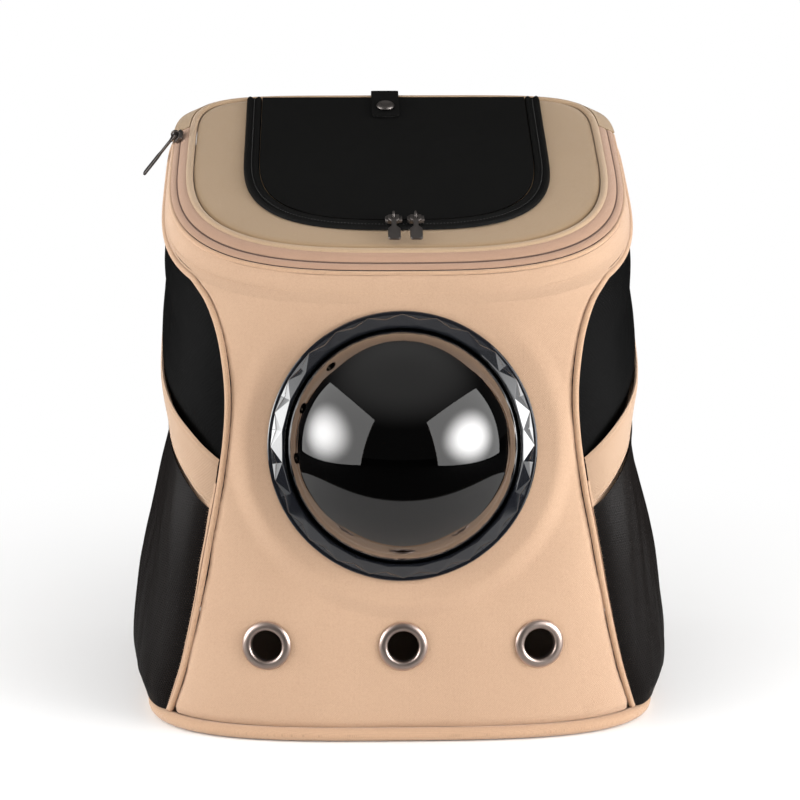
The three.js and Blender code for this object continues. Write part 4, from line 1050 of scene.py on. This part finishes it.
# The lid and its zip
def lid_skin(u, v):
    """The lid's pad: flat below, crowned above, with a rolled edge beside its piping."""
    inset = -(LID_PIPING + GAP)
    x, y = outline_point(rim_outline(inset), TAU * u)
    share = np.interp(v, (0, 0.2, 0.24, 0.3, 0.34, 0.4, 1), (0, 0.985, 1, 1, 0.992, 0.975, 0))
    lift = np.interp(v, (0, 0.2, 0.24, 0.3, 0.34, 0.4, 1),
                     (-LID_PAD, -LID_PAD, 0.8 - LID_PAD, -1.9, -0.8, -0.35, -0.25))
    x, y = x * share, LID_CENTRE + (y - LID_CENTRE) * share
    rise = 0.35 * ripple(x, y, 8, 120) * (v > 0.4) * ease(1 - share, 0.02, 0.15)
    return points_of(x, y, rim_height(y) + LID_TOP + lift + np.minimum(rise, 0.2))


lid_pad = make("lid_pad", close_up(placed_grid(160, 90, lid_skin, uv=top_pattern, closed_u=True)),
               OLIVE, ["lid_panel"])


def around(step, outward, lift, start=0.0, end=TAU):
    angle = np.linspace(start, end, 900)
    closed = end - start > TAU - 1e-6
    return even_path(rim_point(angle[:-1] if closed else angle, outward, lift), step, closed)


make("lid_edge_piping", tube(around(2.0, 0.3, LID_LIFT), LID_PIPING + 0.3, 14, closed=True),
     OLIVE_TRIM, ["lid_piping"])
COIL_OUT = LID_INSET - COIL_INSET + 1.2
RIM_OUT = LID_INSET - RIM_PIPING


def tape_skin(inner, outer, fold):
    def place(u, v):
        angle = lerp(-ZIP_END, ZIP_END, u)
        out = lerp(inner, outer, v)
        crown = fold * np.sin(math.pi * v) ** 0.7
        return rim_point(angle, out, tape_lift(out) + crown)
    return place


inner_tape = placed_grid(340, 8, tape_skin(LID_PIPING - 0.2, COIL_OUT - 0.7, 0.8))
inner_cloth = make("inner_zip_tape", face_out(inner_tape), TAPE_CLOTH, ["lid_zip_tape"], thick=TAPE)
outer_tape = placed_grid(340, 8, tape_skin(COIL_OUT + 0.7, RIM_OUT - RIM_PIPING + 0.7, 0.6))
outer_cloth = make("outer_zip_tape", face_out(outer_tape), TAPE_CLOTH, ["case_zip_tape"],
                   thick=TAPE)
coil_line = around(0.4, COIL_OUT, tape_lift(COIL_OUT), -ZIP_END, ZIP_END)
make("zip_teeth", tube(coil_line, COIL, 8, notch=lambda k: 1 - 0.2 * (np.sin(k * TAU / 4) ** 2)),
     TAPE_COIL, ["zip_coil"])
make("rim_edge_piping", tube(around(2.0, RIM_OUT, 0.8, -ZIP_END, ZIP_END), RIM_PIPING, 12),
     TRIM, ["rim_piping"])


def gusset_skin(u, v):
    """Cloth behind the zip's ends, from the lid's piping to the back's edge."""
    angle = lerp(ZIP_END + 0.01, TAU - ZIP_END - 0.01, u)
    inner = rim_point(angle, LID_PIPING + 2 * GAP, LID_LIFT)
    x, y = outline_point(plan_at(1.0, -GAP), angle)
    y = np.minimum(y, BACK - GAP)
    outer = points_of(x, y, rim_height(y) + GAP + TAPE)
    return lerp(inner, outer, v[:, None])


gusset = make("back_gusset", face_out(placed_grid(140, 8, gusset_skin)), OLIVE, ["lid_gusset"],
              thick=TAPE)


# The flap over the lid
def flap_edge(share, inset, lift):
    """Place on the flap's edge: 0 in front, 1 and -1 where the sides start, 2 and -2 behind."""
    size = np.abs(share)
    outline = (FLAP_HALF - inset, FLAP_FRONT + inset, FLAP_BACK, FLAP_CENTRE, FLAP_SQUARE,
               FLAP_SQUARE)
    x, y = outline_point(outline, np.minimum(size, 1) * math.pi / 2)
    y = np.where(size > 1, lerp(FLAP_CENTRE, FLAP_BACK, size - 1), y)
    return points_of(np.sign(share) * x, y, rim_height(y) + LID_TOP + lift)


def flap_skin(u, v):
    """The flap inside its border: rounded in front, straight behind, softly creased."""
    inset = BINDING + GAP
    half, depth = FLAP_HALF - inset, FLAP_CENTRE - FLAP_FRONT - inset
    turn = np.clip(v / FLAP_NOSE, 0, 1) * math.pi / 2
    y = np.where(v < FLAP_NOSE, FLAP_CENTRE - depth * np.cos(turn) ** (2 / FLAP_SQUARE),
                 lerp(FLAP_CENTRE, FLAP_BACK, (v - FLAP_NOSE) / (1 - FLAP_NOSE)))
    width = np.where(v < FLAP_NOSE, half * np.sin(turn) ** (2 / FLAP_SQUARE), half)
    x = (2 * u - 1) * width
    crease = 0.5 * ripple(x, y, 4, 130) + 0.35 * np.exp(-((y - 62 - 0.25 * x) / 7) ** 2)
    hold = ease(np.minimum(width - np.abs(x), FLAP_BACK - y), 0, 14)
    return points_of(x, y, rim_height(y) + LID_TOP + GAP + FLAP_CLOTH + 0.45 * crease * hold)


flap_cloth = placed_grid(110, 110, flap_skin, uv=top_pattern)
bmesh.ops.remove_doubles(flap_cloth, verts=flap_cloth.verts, dist=1e-6)
lid_cover = make("flap_cloth", face_out(flap_cloth), BLACK, ["lid_flap"], thick=1.1)

# Height of the flap's border across its width: a cord, a groove, the zip and a second cord
BORDER = np.array([
    (0, 0.2), (0.8, 1.7), (2.3, 2.4), (3.9, 1.5), (4.6, 0.9), (5.2, 1.3), (5.8, 0.9),
    (6.6, 1.5), (8.1, 2.25), (9.6, 1.5), (10.4, 0.3)])
BORDER_TOP = 0.75


def border_skin(u, v):
    """Round the border's section: over its top up to BORDER_TOP, then back below it."""
    across = np.where(v < BORDER_TOP, v / BORDER_TOP, 1 - (v - BORDER_TOP) / (1 - BORDER_TOP))
    across = across * BINDING
    high = GAP + np.interp(across, BORDER[:, 0], BORDER[:, 1])
    lift = np.where((v <= BORDER_TOP) | (v > 0.999), high, GAP)
    return flap_edge(lerp(-2.0, 2.0, u), across, lift)


border = placed_grid(260, 56, border_skin, closed_v=True)
make("flap_border", close_up(border), BLACK, ["flap_binding"], crisp=60)


def snap_path():
    """Middle line of the tab, from over the flap to down the back."""
    clear = LID_TOP + 2 * GAP + FLAP_CLOTH
    middle = clear + TAB_CLOTH / 2
    edge = BACK - 1.5
    rows = [(TAB_FRONT, middle), (TAB_FRONT + 3, middle), ((TAB_FRONT + FLAP_BACK) / 2, middle),
            (FLAP_BACK, middle), (edge - 4, middle - 0.5), (edge - 0.5, middle - 2.5),
            (edge + 1.1, middle - 6), (edge + 1.4, 5.2)]
    points = np.array([(TAB_X, y, rim_height(y) + lift) for y, lift in rows])
    return even_path(points, 1.2)


tab = strip(snap_path(), (1, 0, 0), lambda v: TAB_WIDTH * lerp(0.86, 1.0, ease(v, 0, 0.06)),
            rounded_section(TAB_CLOTH, 8))
make("snap_tab_cloth", tab, BLACK, ["snap_tab"])
snap_y = TAB_FRONT + SNAP + 5
snap_lift = LID_TOP + 2 * GAP + FLAP_CLOTH + TAB_CLOTH + 2 * GAP
slope_normal = Vector((0, -RIM_SLOPE, 1)).normalized()
snap_frame = local_frame((TAB_X, snap_y, rim_height(snap_y) + snap_lift), slope_normal)
snap = spun([(0, 0), (SNAP * 0.8, 0), (SNAP * 0.95, 0.25), (SNAP, 0.75), (SNAP * 0.97, 1.3),
             (SNAP * 0.9, 1.85), (SNAP * 0.78, 2.35), (SNAP * 0.66, 2.55), (SNAP * 0.54, 2.4),
             (SNAP * 0.45, 1.95), (SNAP * 0.38, 1.85), (0, 1.8)], 64, snap_frame, closed=False)
make("snap_button", snap, DARK_METAL, ["snap_cap"])


# The bubble window and the vents
def grommet_profile():
    """Rolled in front, through the cloth, and clenched flat behind it."""
    rear, bore, neck = -CLOTH, VENT_BORE, VENT_BORE + VENT_ROLL
    rolled = [(bore, 0.0), (bore + 0.15, 0.9), (bore + 0.7, 1.7), (bore + 1.5, 2.1),
              (bore + 2.5, 2.2), (bore + 3.6, 2.05), (bore + 4.6, 1.65), (VENT - 0.8, 1.2),
              (VENT - 0.2, 0.6), (VENT, 0.05), (VENT - 0.3, -0.02), (neck, 0)]
    clenched = [(neck, rear), (VENT - 1, rear), (VENT - 0.9, rear - 0.6),
                (VENT - 1.2, rear - 1.2), (bore + 1, rear - 1.4)]
    return [(bore, rear - 0.5)] + rolled + clenched


for word, (centre, normal) in zip(("left", "middle", "right"), VENTS):
    make(f"{word}_grommet", spun(grommet_profile(), 72, local_frame(centre, normal)), METAL,
         [f"{word}_vent_grommet"])


def mount_profile():
    """Flange in front of the cloth, collar through it and clamping ring behind."""
    collar, deep = BUBBLE - BUBBLE_WALL, BUBBLE - BUBBLE_WALL + COLLAR_DEPTH
    rear, face, foot = -CLOTH - GAP, FLANGE_HEIGHT + GAP, FLANGE - 4
    flange = [(collar, face), (FLANGE - 1.4, face), (FLANGE - 0.6, face - 0.25),
              (FLANGE - 0.1, face - 0.8), (FLANGE, face - 1.5), (FLANGE, 0.5),
              (FLANGE - 0.2, GAP), (deep, GAP)]
    clamp = [(deep, rear), (foot, rear), (foot, rear - 2.5)]
    return [(collar, rear - 2.5)] + flange + clamp


make("mount_ring", spun(mount_profile(), 144, window_frame()), GLOSS, ["window_mount_ring"],
     crisp=30)


def grip_ring():
    """Cut facets round the grip: long diamonds tip to tip, with triangles in and out."""
    base = WINDOW_SEAT
    inner = BUBBLE + GAP
    outer_r, outer_h = GRIP - 0.25, base + RING_TOP * 0.32
    near_r, near_h = inner + 2.3, base + RING_TOP * 0.97
    foot_r, foot_h = GRIP, base + RING_TOP * 0.12
    profile = [(inner, base), (GRIP - 0.4, base), (foot_r, foot_h), (outer_r, outer_h),
               (near_r, near_h), (inner + 1.0, base + RING_TOP),
               (inner + 0.15, base + RING_TOP * 0.93)]
    ring = spun(profile, 2 * FACETS, Matrix.Identity(4))
    kept_rows = (("foot", foot_r, foot_h), ("outer", outer_r, outer_h), ("near", near_r, near_h))
    rows = {}
    for vert in ring.verts:
        radius, height = math.hypot(vert.co.x, vert.co.y) / MM, vert.co.z / MM
        step = round(math.atan2(vert.co.y, vert.co.x) / (math.pi / FACETS)) % (2 * FACETS)
        for word, r, h in kept_rows:
            if abs(radius - r) < 0.05 and abs(height - h) < 0.05:
                rows[word, step] = vert
    # Even steps are the facets' tips, odd steps the valleys between them
    moves = {("foot", 1): (-2.7, 0.0), ("outer", 1): (-3.1, 0.16), ("near", 0): (-0.65, 0.0)}
    for (word, step), vert in rows.items():
        out, lift = moves.get((word, step % 2), (0.0, 0.0))
        radius = math.hypot(vert.co.x, vert.co.y)
        vert.co.x *= 1 + out * MM / radius
        vert.co.y *= 1 + out * MM / radius
        vert.co.z += lift * RING_TOP * MM
    for step in range(0, 2 * FACETS, 2):
        for beside_step in ((step + 1) % (2 * FACETS), (step - 1) % (2 * FACETS)):
            bmesh.ops.connect_verts(ring, verts=[rows["outer", step], rows["near", beside_step]])
    ring.normal_update()
    bmesh.ops.dissolve_limit(ring, angle_limit=math.radians(0.6), verts=ring.verts,
                             edges=ring.edges)
    bevel_edges(ring, 3, 0.16)
    bmesh.ops.transform(ring, matrix=window_frame(), verts=ring.verts)
    return ring


make("grip_ring", grip_ring(), GLOSS, ["bubble_grip_ring"], on="bubble", crisp=4)


def bubble():
    """The dome's wall, with its air holes cut through it."""
    base = WINDOW_SEAT
    sphere = (BUBBLE ** 2 + BUBBLE_HEIGHT ** 2) / (2 * BUBBLE_HEIGHT)
    centre = base + SKIRT + BUBBLE_HEIGHT - sphere
    outer, inner = [(BUBBLE, base)], [(BUBBLE - BUBBLE_WALL, base)]
    for line, radius in ((outer, sphere), (inner, sphere - BUBBLE_WALL)):
        start = math.asin((base + SKIRT - centre) / radius)
        for k in range(49):
            rise = lerp(start, math.pi / 2, k / 48)
            line.append((radius * math.cos(rise) if k < 48 else 0.0,
                         centre + radius * math.sin(rise)))
    body = spun(outer + inner[::-1] + outer[:1], 160, Matrix.Identity(4), closed=False)
    holes = bmesh.new()
    for k in (-1, 0, 1):
        turn = math.radians(AIR_HOLE_MIDDLE + k * AIR_HOLE_STEP)
        rise = math.asin((base + SKIRT + AIR_HOLE_UP * BUBBLE_HEIGHT - centre) / sphere)
        out = Vector((math.cos(turn) * math.cos(rise), math.sin(turn) * math.cos(rise),
                      math.sin(rise)))
        place = Matrix.Translation((Vector((0, 0, centre)) + out * sphere) * MM)
        bmesh.ops.create_cone(holes, cap_ends=True, segments=36, radius1=AIR_HOLE * MM,
                              radius2=AIR_HOLE * MM, depth=12 * MM,
                              matrix=place @ out.to_track_quat("Z", "Y").to_matrix().to_4x4())
    found = []
    for name, shape in (("bubble_cut", body), ("bubble_holes", holes)):
        mesh = bpy.data.meshes.new(name)
        shape.to_mesh(mesh)
        shape.free()
        thing = bpy.data.objects.new(name, mesh)
        bpy.context.scene.collection.objects.link(thing)
        found.append(thing)
    cutter = found[0].modifiers.new("air_holes", "BOOLEAN")
    cutter.object, cutter.operation, cutter.solver = found[1], "DIFFERENCE", "EXACT"
    result = bmesh.new()
    result.from_object(found[0], bpy.context.evaluated_depsgraph_get())
    for thing in found:
        mesh = thing.data
        bpy.data.objects.remove(thing)
        bpy.data.meshes.remove(mesh)
    bmesh.ops.transform(result, matrix=window_frame(), verts=result.verts)
    return result


make("smoked_bubble", bubble(), SMOKED, ["bubble_dome"], on="bubble", crisp=30)


# Sliders, pulls and strap fittings: the solids with their edges rounded
def rounded_copy(node, radius):
    body = bmesh.new()
    body.from_mesh(cad[node].data)
    bmesh.ops.remove_doubles(body, verts=body.verts, dist=1e-6)
    bmesh.ops.dissolve_limit(body, angle_limit=math.radians(1), verts=body.verts,
                             edges=body.edges)
    bevel_edges(body, 25, radius)
    bmesh.ops.recalc_face_normals(body, faces=body.faces)
    return body


for word in ("main_zip", "left_flap", "right_flap"):
    make(f"{word}_runner", rounded_copy(f"{word}_slider", 0.25), DARK_METAL, [f"{word}_slider"])
    make(f"{word}_tag", rounded_copy(f"{word}_pull", 0.35), DARK_METAL, [f"{word}_pull"],
         on=f"{word}_pull")
for side in ("left", "right"):
    make(f"{side}_adjuster", rounded_copy(f"{side}_strap_adjuster", 0.5), PLASTIC,
         [f"{side}_strap_adjuster"])
    make(f"{side}_anchor_patch", rounded_copy(f"{side}_strap_anchor", 0.3), WEB_CLOTH,
         [f"{side}_strap_anchor"])


def strap_line(table, step):
    """Smooth line through a table's places behind the back."""
    top = rim_height(BACK)
    rough = np.array([(side * BASE_HALF, BACK + behind * STRAP_REACH, up * top)
                      for side, behind, up in table])
    fine = []
    count = len(rough) - 1
    for k in range(count):
        before = rough[k - 1] if k else 2 * rough[0] - rough[1]
        after = rough[k + 2] if k + 2 <= count else 2 * rough[-1] - rough[-2]
        start, end = rough[k], rough[k + 1]
        for t in np.linspace(0, 1, 12, endpoint=False):
            fine.append(0.5 * (2 * start + (end - before) * t
                               + (2 * before - 5 * start + 4 * end - after) * t * t
                               + (3 * start - before - 3 * end + after) * t ** 3))
    fine.append(rough[-1])
    return even_path(fine, step)


def strap_width(v):
    tapered = 1 - 0.7 * np.maximum(v - 0.5, 0)
    return STRAP_WIDTH * np.where(v < 0.1, lerp(0.8, 1.0, ease(v, 0, 0.1)), tapered)


def strap_section(u, v):
    """Padded strap: crowned in the middle, bound along both edges."""
    turn = TAU * u
    thick = STRAP_PAD * lerp(0.45, 1.0, ease(v, 0.0, 0.07)) * lerp(1.0, 0.45, ease(v, 0.94, 1.0))
    x = np.sign(np.cos(turn)) * np.abs(np.cos(turn)) ** 0.5
    y = np.sign(np.sin(turn)) * np.abs(np.sin(turn)) ** 0.9
    groove = 1 - 0.16 * np.exp(-((np.abs(x) - 0.8) / 0.05) ** 2)
    return x, y * groove * (thick / 2) * 0.97


strap = strip(strap_line(STRAP, 3.0), (1, 0, 0), strap_width, strap_section)
straps = pair("strap_pad", strap, LIT_PADDING, "shoulder_strap")
web = strip(strap_line(WEB, 3.0), (1, 0, 0), WEBBING_WIDTH, rounded_section(WEBBING, 8))
pair("strap_web", web, WEB_CLOTH, "strap_webbing")


def haul_line():
    turn = np.linspace(0, math.pi, 60)
    reach = np.sin(turn)
    height = rim_height(BACK) - HAUL_DROP
    return points_of(-HAUL_SPAN / 2 * np.cos(turn),
                     BACK + 4 * GAP + WEBBING + HAUL_REACH * np.maximum(reach, 0) ** 0.8,
                     height + HAUL_RISE * reach)


handle = strip(even_path(haul_line(), 1.5), (0, 0, 1), HAUL_WIDTH,
               rounded_section(WEBBING + 0.9, 8))
make("haul_handle", handle, WEB_CLOTH, ["haul_loop"])


# Stitching
def stitches(paths, length, step, size):
    """Single stitches along some lines, each a small rounded bead of thread."""
    body = bmesh.new()
    bead = Matrix.Diagonal((length * MM / 2, size * MM / 2, size * MM / 2, 1))
    for path in paths:
        line = even_path(path, step)
        for start, end in zip(line, line[1:]):
            start, end = Vector(start) * MM, Vector(end) * MM
            turn = (end - start).normalized().to_track_quat("X", "Z").to_matrix().to_4x4()
            place = Matrix.Translation((start + end) / 2) @ turn @ bead
            bmesh.ops.create_icosphere(body, subdivisions=1, radius=1, matrix=place)
    return body


RIM_STITCH_UP, RIM_STITCH_END = 0.9665, 1.45
rim_angle = np.linspace(-RIM_STITCH_END, RIM_STITCH_END, 500)
rim_line = wall(np.full(rim_angle.shape, RIM_STITCH_UP), rim_angle, -0.35)
make("rim_stitching", stitches([rim_line], 2.6, 3.6, 0.5), THREAD)


def hem_line(v, seed):
    share = np.linspace(0.02, 0.98, 300)
    return hem_skin(seed)(share, np.full(share.shape, v))


for side, seed in (("right", RIGHT_HEM_WAVES), ("left", LEFT_HEM_WAVES)):
    rows = stitches([hem_line(v, seed) for v in (0.1, 0.9)], 2.4, 3.4, 0.5)
    make(f"{side}_hem_stitching", mirrored(rows) if side == "left" else rows, THREAD)

flap_line = flap_edge(np.linspace(-1.97, 1.97, 700), 5.2, GAP + 1.3)
make("flap_stitching", stitches([flap_line], 1.1, 2.2, 0.8), BLACK_THREAD)


# Studio: pale floor, two large softboxes and a soft surround
def stage_floor():
    """Pale floor. Mirrored it ends like a table, and seen directly it runs out to white."""
    floor = bmesh.new()
    bmesh.ops.create_grid(floor, x_segments=1, y_segments=1, size=20)
    mesh = bpy.data.meshes.new("studio_floor")
    floor.to_mesh(mesh)
    floor.free()
    mesh.transform(Matrix.Translation((0, 0, -0.0004)))
    plane = bpy.data.objects.new("studio_floor", mesh)
    bpy.context.scene.collection.objects.link(plane)
    material, tree, shader = start_material("studio_floor", Roughness=0.6, Specular_IOR_Level=0.1)
    shader.inputs["Base Color"].default_value = (0.93, 0.93, 0.93, 1)
    mesh.materials.append(material)
    dark = tree.nodes.new("ShaderNodeBsdfDiffuse")
    dark.inputs["Color"].default_value = (0.01, 0.01, 0.01, 1)
    place = tree.nodes.new("ShaderNodeTexCoord").outputs["Object"]
    distance = tree.nodes.new("ShaderNodeVectorMath")
    distance.operation = "LENGTH"
    tree.links.new(place, distance.inputs[0])
    squeezed = tree.nodes.new("ShaderNodeVectorMath")
    squeezed.operation = "MULTIPLY"
    squeezed.inputs[1].default_value = (0.68, 1.0, 1.0)
    tree.links.new(place, squeezed.inputs[0])
    reach = tree.nodes.new("ShaderNodeVectorMath")
    reach.operation = "LENGTH"
    tree.links.new(squeezed.outputs[0], reach.inputs[0])
    far = ramp(tree, reach.outputs["Value"], 0.335, 0.37)
    path = tree.nodes.new("ShaderNodeLightPath")
    dimmed = maths(tree, "MAXIMUM", far, 0.72)
    share = maths(tree, "MULTIPLY", dimmed, path.outputs["Is Glossy Ray"])
    mixed = tree.nodes.new("ShaderNodeMixShader")
    tree.links.new(share, mixed.inputs[0])
    tree.links.new(shader.outputs[0], mixed.inputs[1])
    tree.links.new(dark.outputs[0], mixed.inputs[2])
    white = tree.nodes.new("ShaderNodeEmission")
    white.inputs["Color"].default_value = (1, 1, 1, 1)
    beyond = maths(tree, "MULTIPLY", ramp(tree, distance.outputs["Value"], 0.24, 0.62),
                   path.outputs["Is Camera Ray"])
    shown = tree.nodes.new("ShaderNodeMixShader")
    tree.links.new(beyond, shown.inputs[0])
    tree.links.new(mixed.outputs[0], shown.inputs[1])
    tree.links.new(white.outputs[0], shown.inputs[2])
    tree.links.new(shown.outputs[0], tree.nodes["Material Output"].inputs["Surface"])


def softbox(name, azimuth, elevation, distance, wide, high, power, spot, centre, edge=0.85):
    """Large rectangular light, brighter round its spot, aimed at the window."""
    az, el = math.radians(azimuth), math.radians(elevation)
    aim = Vector((0.0, -0.14, 0.19))
    way = Vector((math.sin(az) * math.cos(el), -math.cos(az) * math.cos(el), math.sin(el)))
    light = bpy.data.lights.new(name, "AREA")
    light.shape, light.size, light.size_y = "RECTANGLE", wide, high
    light.energy = power
    light.use_nodes = True
    tree = light.node_tree
    emission = tree.nodes["Emission"]
    at = tree.nodes.new("ShaderNodeNewGeometry").outputs["Parametric"]
    away = tree.nodes.new("ShaderNodeVectorMath")
    away.operation = "DISTANCE"
    away.inputs[1].default_value = (spot[0], spot[1], 0)
    tree.links.new(at, away.inputs[0])
    glow = ramp(tree, away.outputs["Value"], 0.02, 0.42, centre, edge)
    tree.links.new(glow, emission.inputs["Strength"])
    lamp = bpy.data.objects.new(name, light)
    lamp.location = aim + way * distance
    lamp.rotation_euler = way.to_track_quat("Z", "Y").to_euler()
    lamp.visible_camera = False
    bpy.context.scene.collection.objects.link(lamp)


def surround():
    """Even pale light all round. Reflections see a dark room, and the camera sees white."""
    world = bpy.data.worlds.new("surround")
    bpy.context.scene.world = world
    world.use_nodes = True
    tree = world.node_tree
    background = tree.nodes["Background"]
    background.inputs["Color"].default_value = (1.0, 0.99, 0.98, 1)
    path = tree.nodes.new("ShaderNodeLightPath")
    split = tree.nodes.new("ShaderNodeSeparateXYZ")
    tree.links.new(tree.nodes.new("ShaderNodeTexCoord").outputs["Generated"], split.inputs[0])
    mirrored_light = ramp(tree, split.outputs["Z"], 0.45, 0.95, 0.02, 0.22)
    strength = ramp(tree, path.outputs["Is Glossy Ray"], 0.0, 1.0, 0.70, mirrored_light)
    seen = maths(tree, "MAXIMUM", strength, path.outputs["Is Camera Ray"])
    tree.links.new(seen, background.inputs["Strength"])


def camera():
    """A long lens, 12 degrees above the bag and a little to one side."""
    data = bpy.data.cameras.new("camera")
    data.sensor_width, data.lens = 36.0, 114.75
    data.clip_end = 60
    data.shift_x = 0.0025
    eye = bpy.data.objects.new("camera", data)
    turn = Matrix.Rotation(math.radians(-1.5), 4, "Z")
    tilt = Matrix.Rotation(math.radians(90 - 12), 4, "X")
    eye.matrix_world = turn @ Matrix.Translation((0, -1.663, 0.546)) @ tilt
    bpy.context.scene.collection.objects.link(eye)
    bpy.context.scene.camera = eye


stage_floor()
surround()
softbox("left_softbox", -76, 16, 1.15, 1.75, 1.2, 7.5, (0.42, 0.42), 7.0)
softbox("right_softbox", 68, 14, 1.15, 1.75, 1.2, 8.5, (0.5, 0.45), 9.0)
camera()
bpy.context.scene.view_settings.view_transform = "Standard"
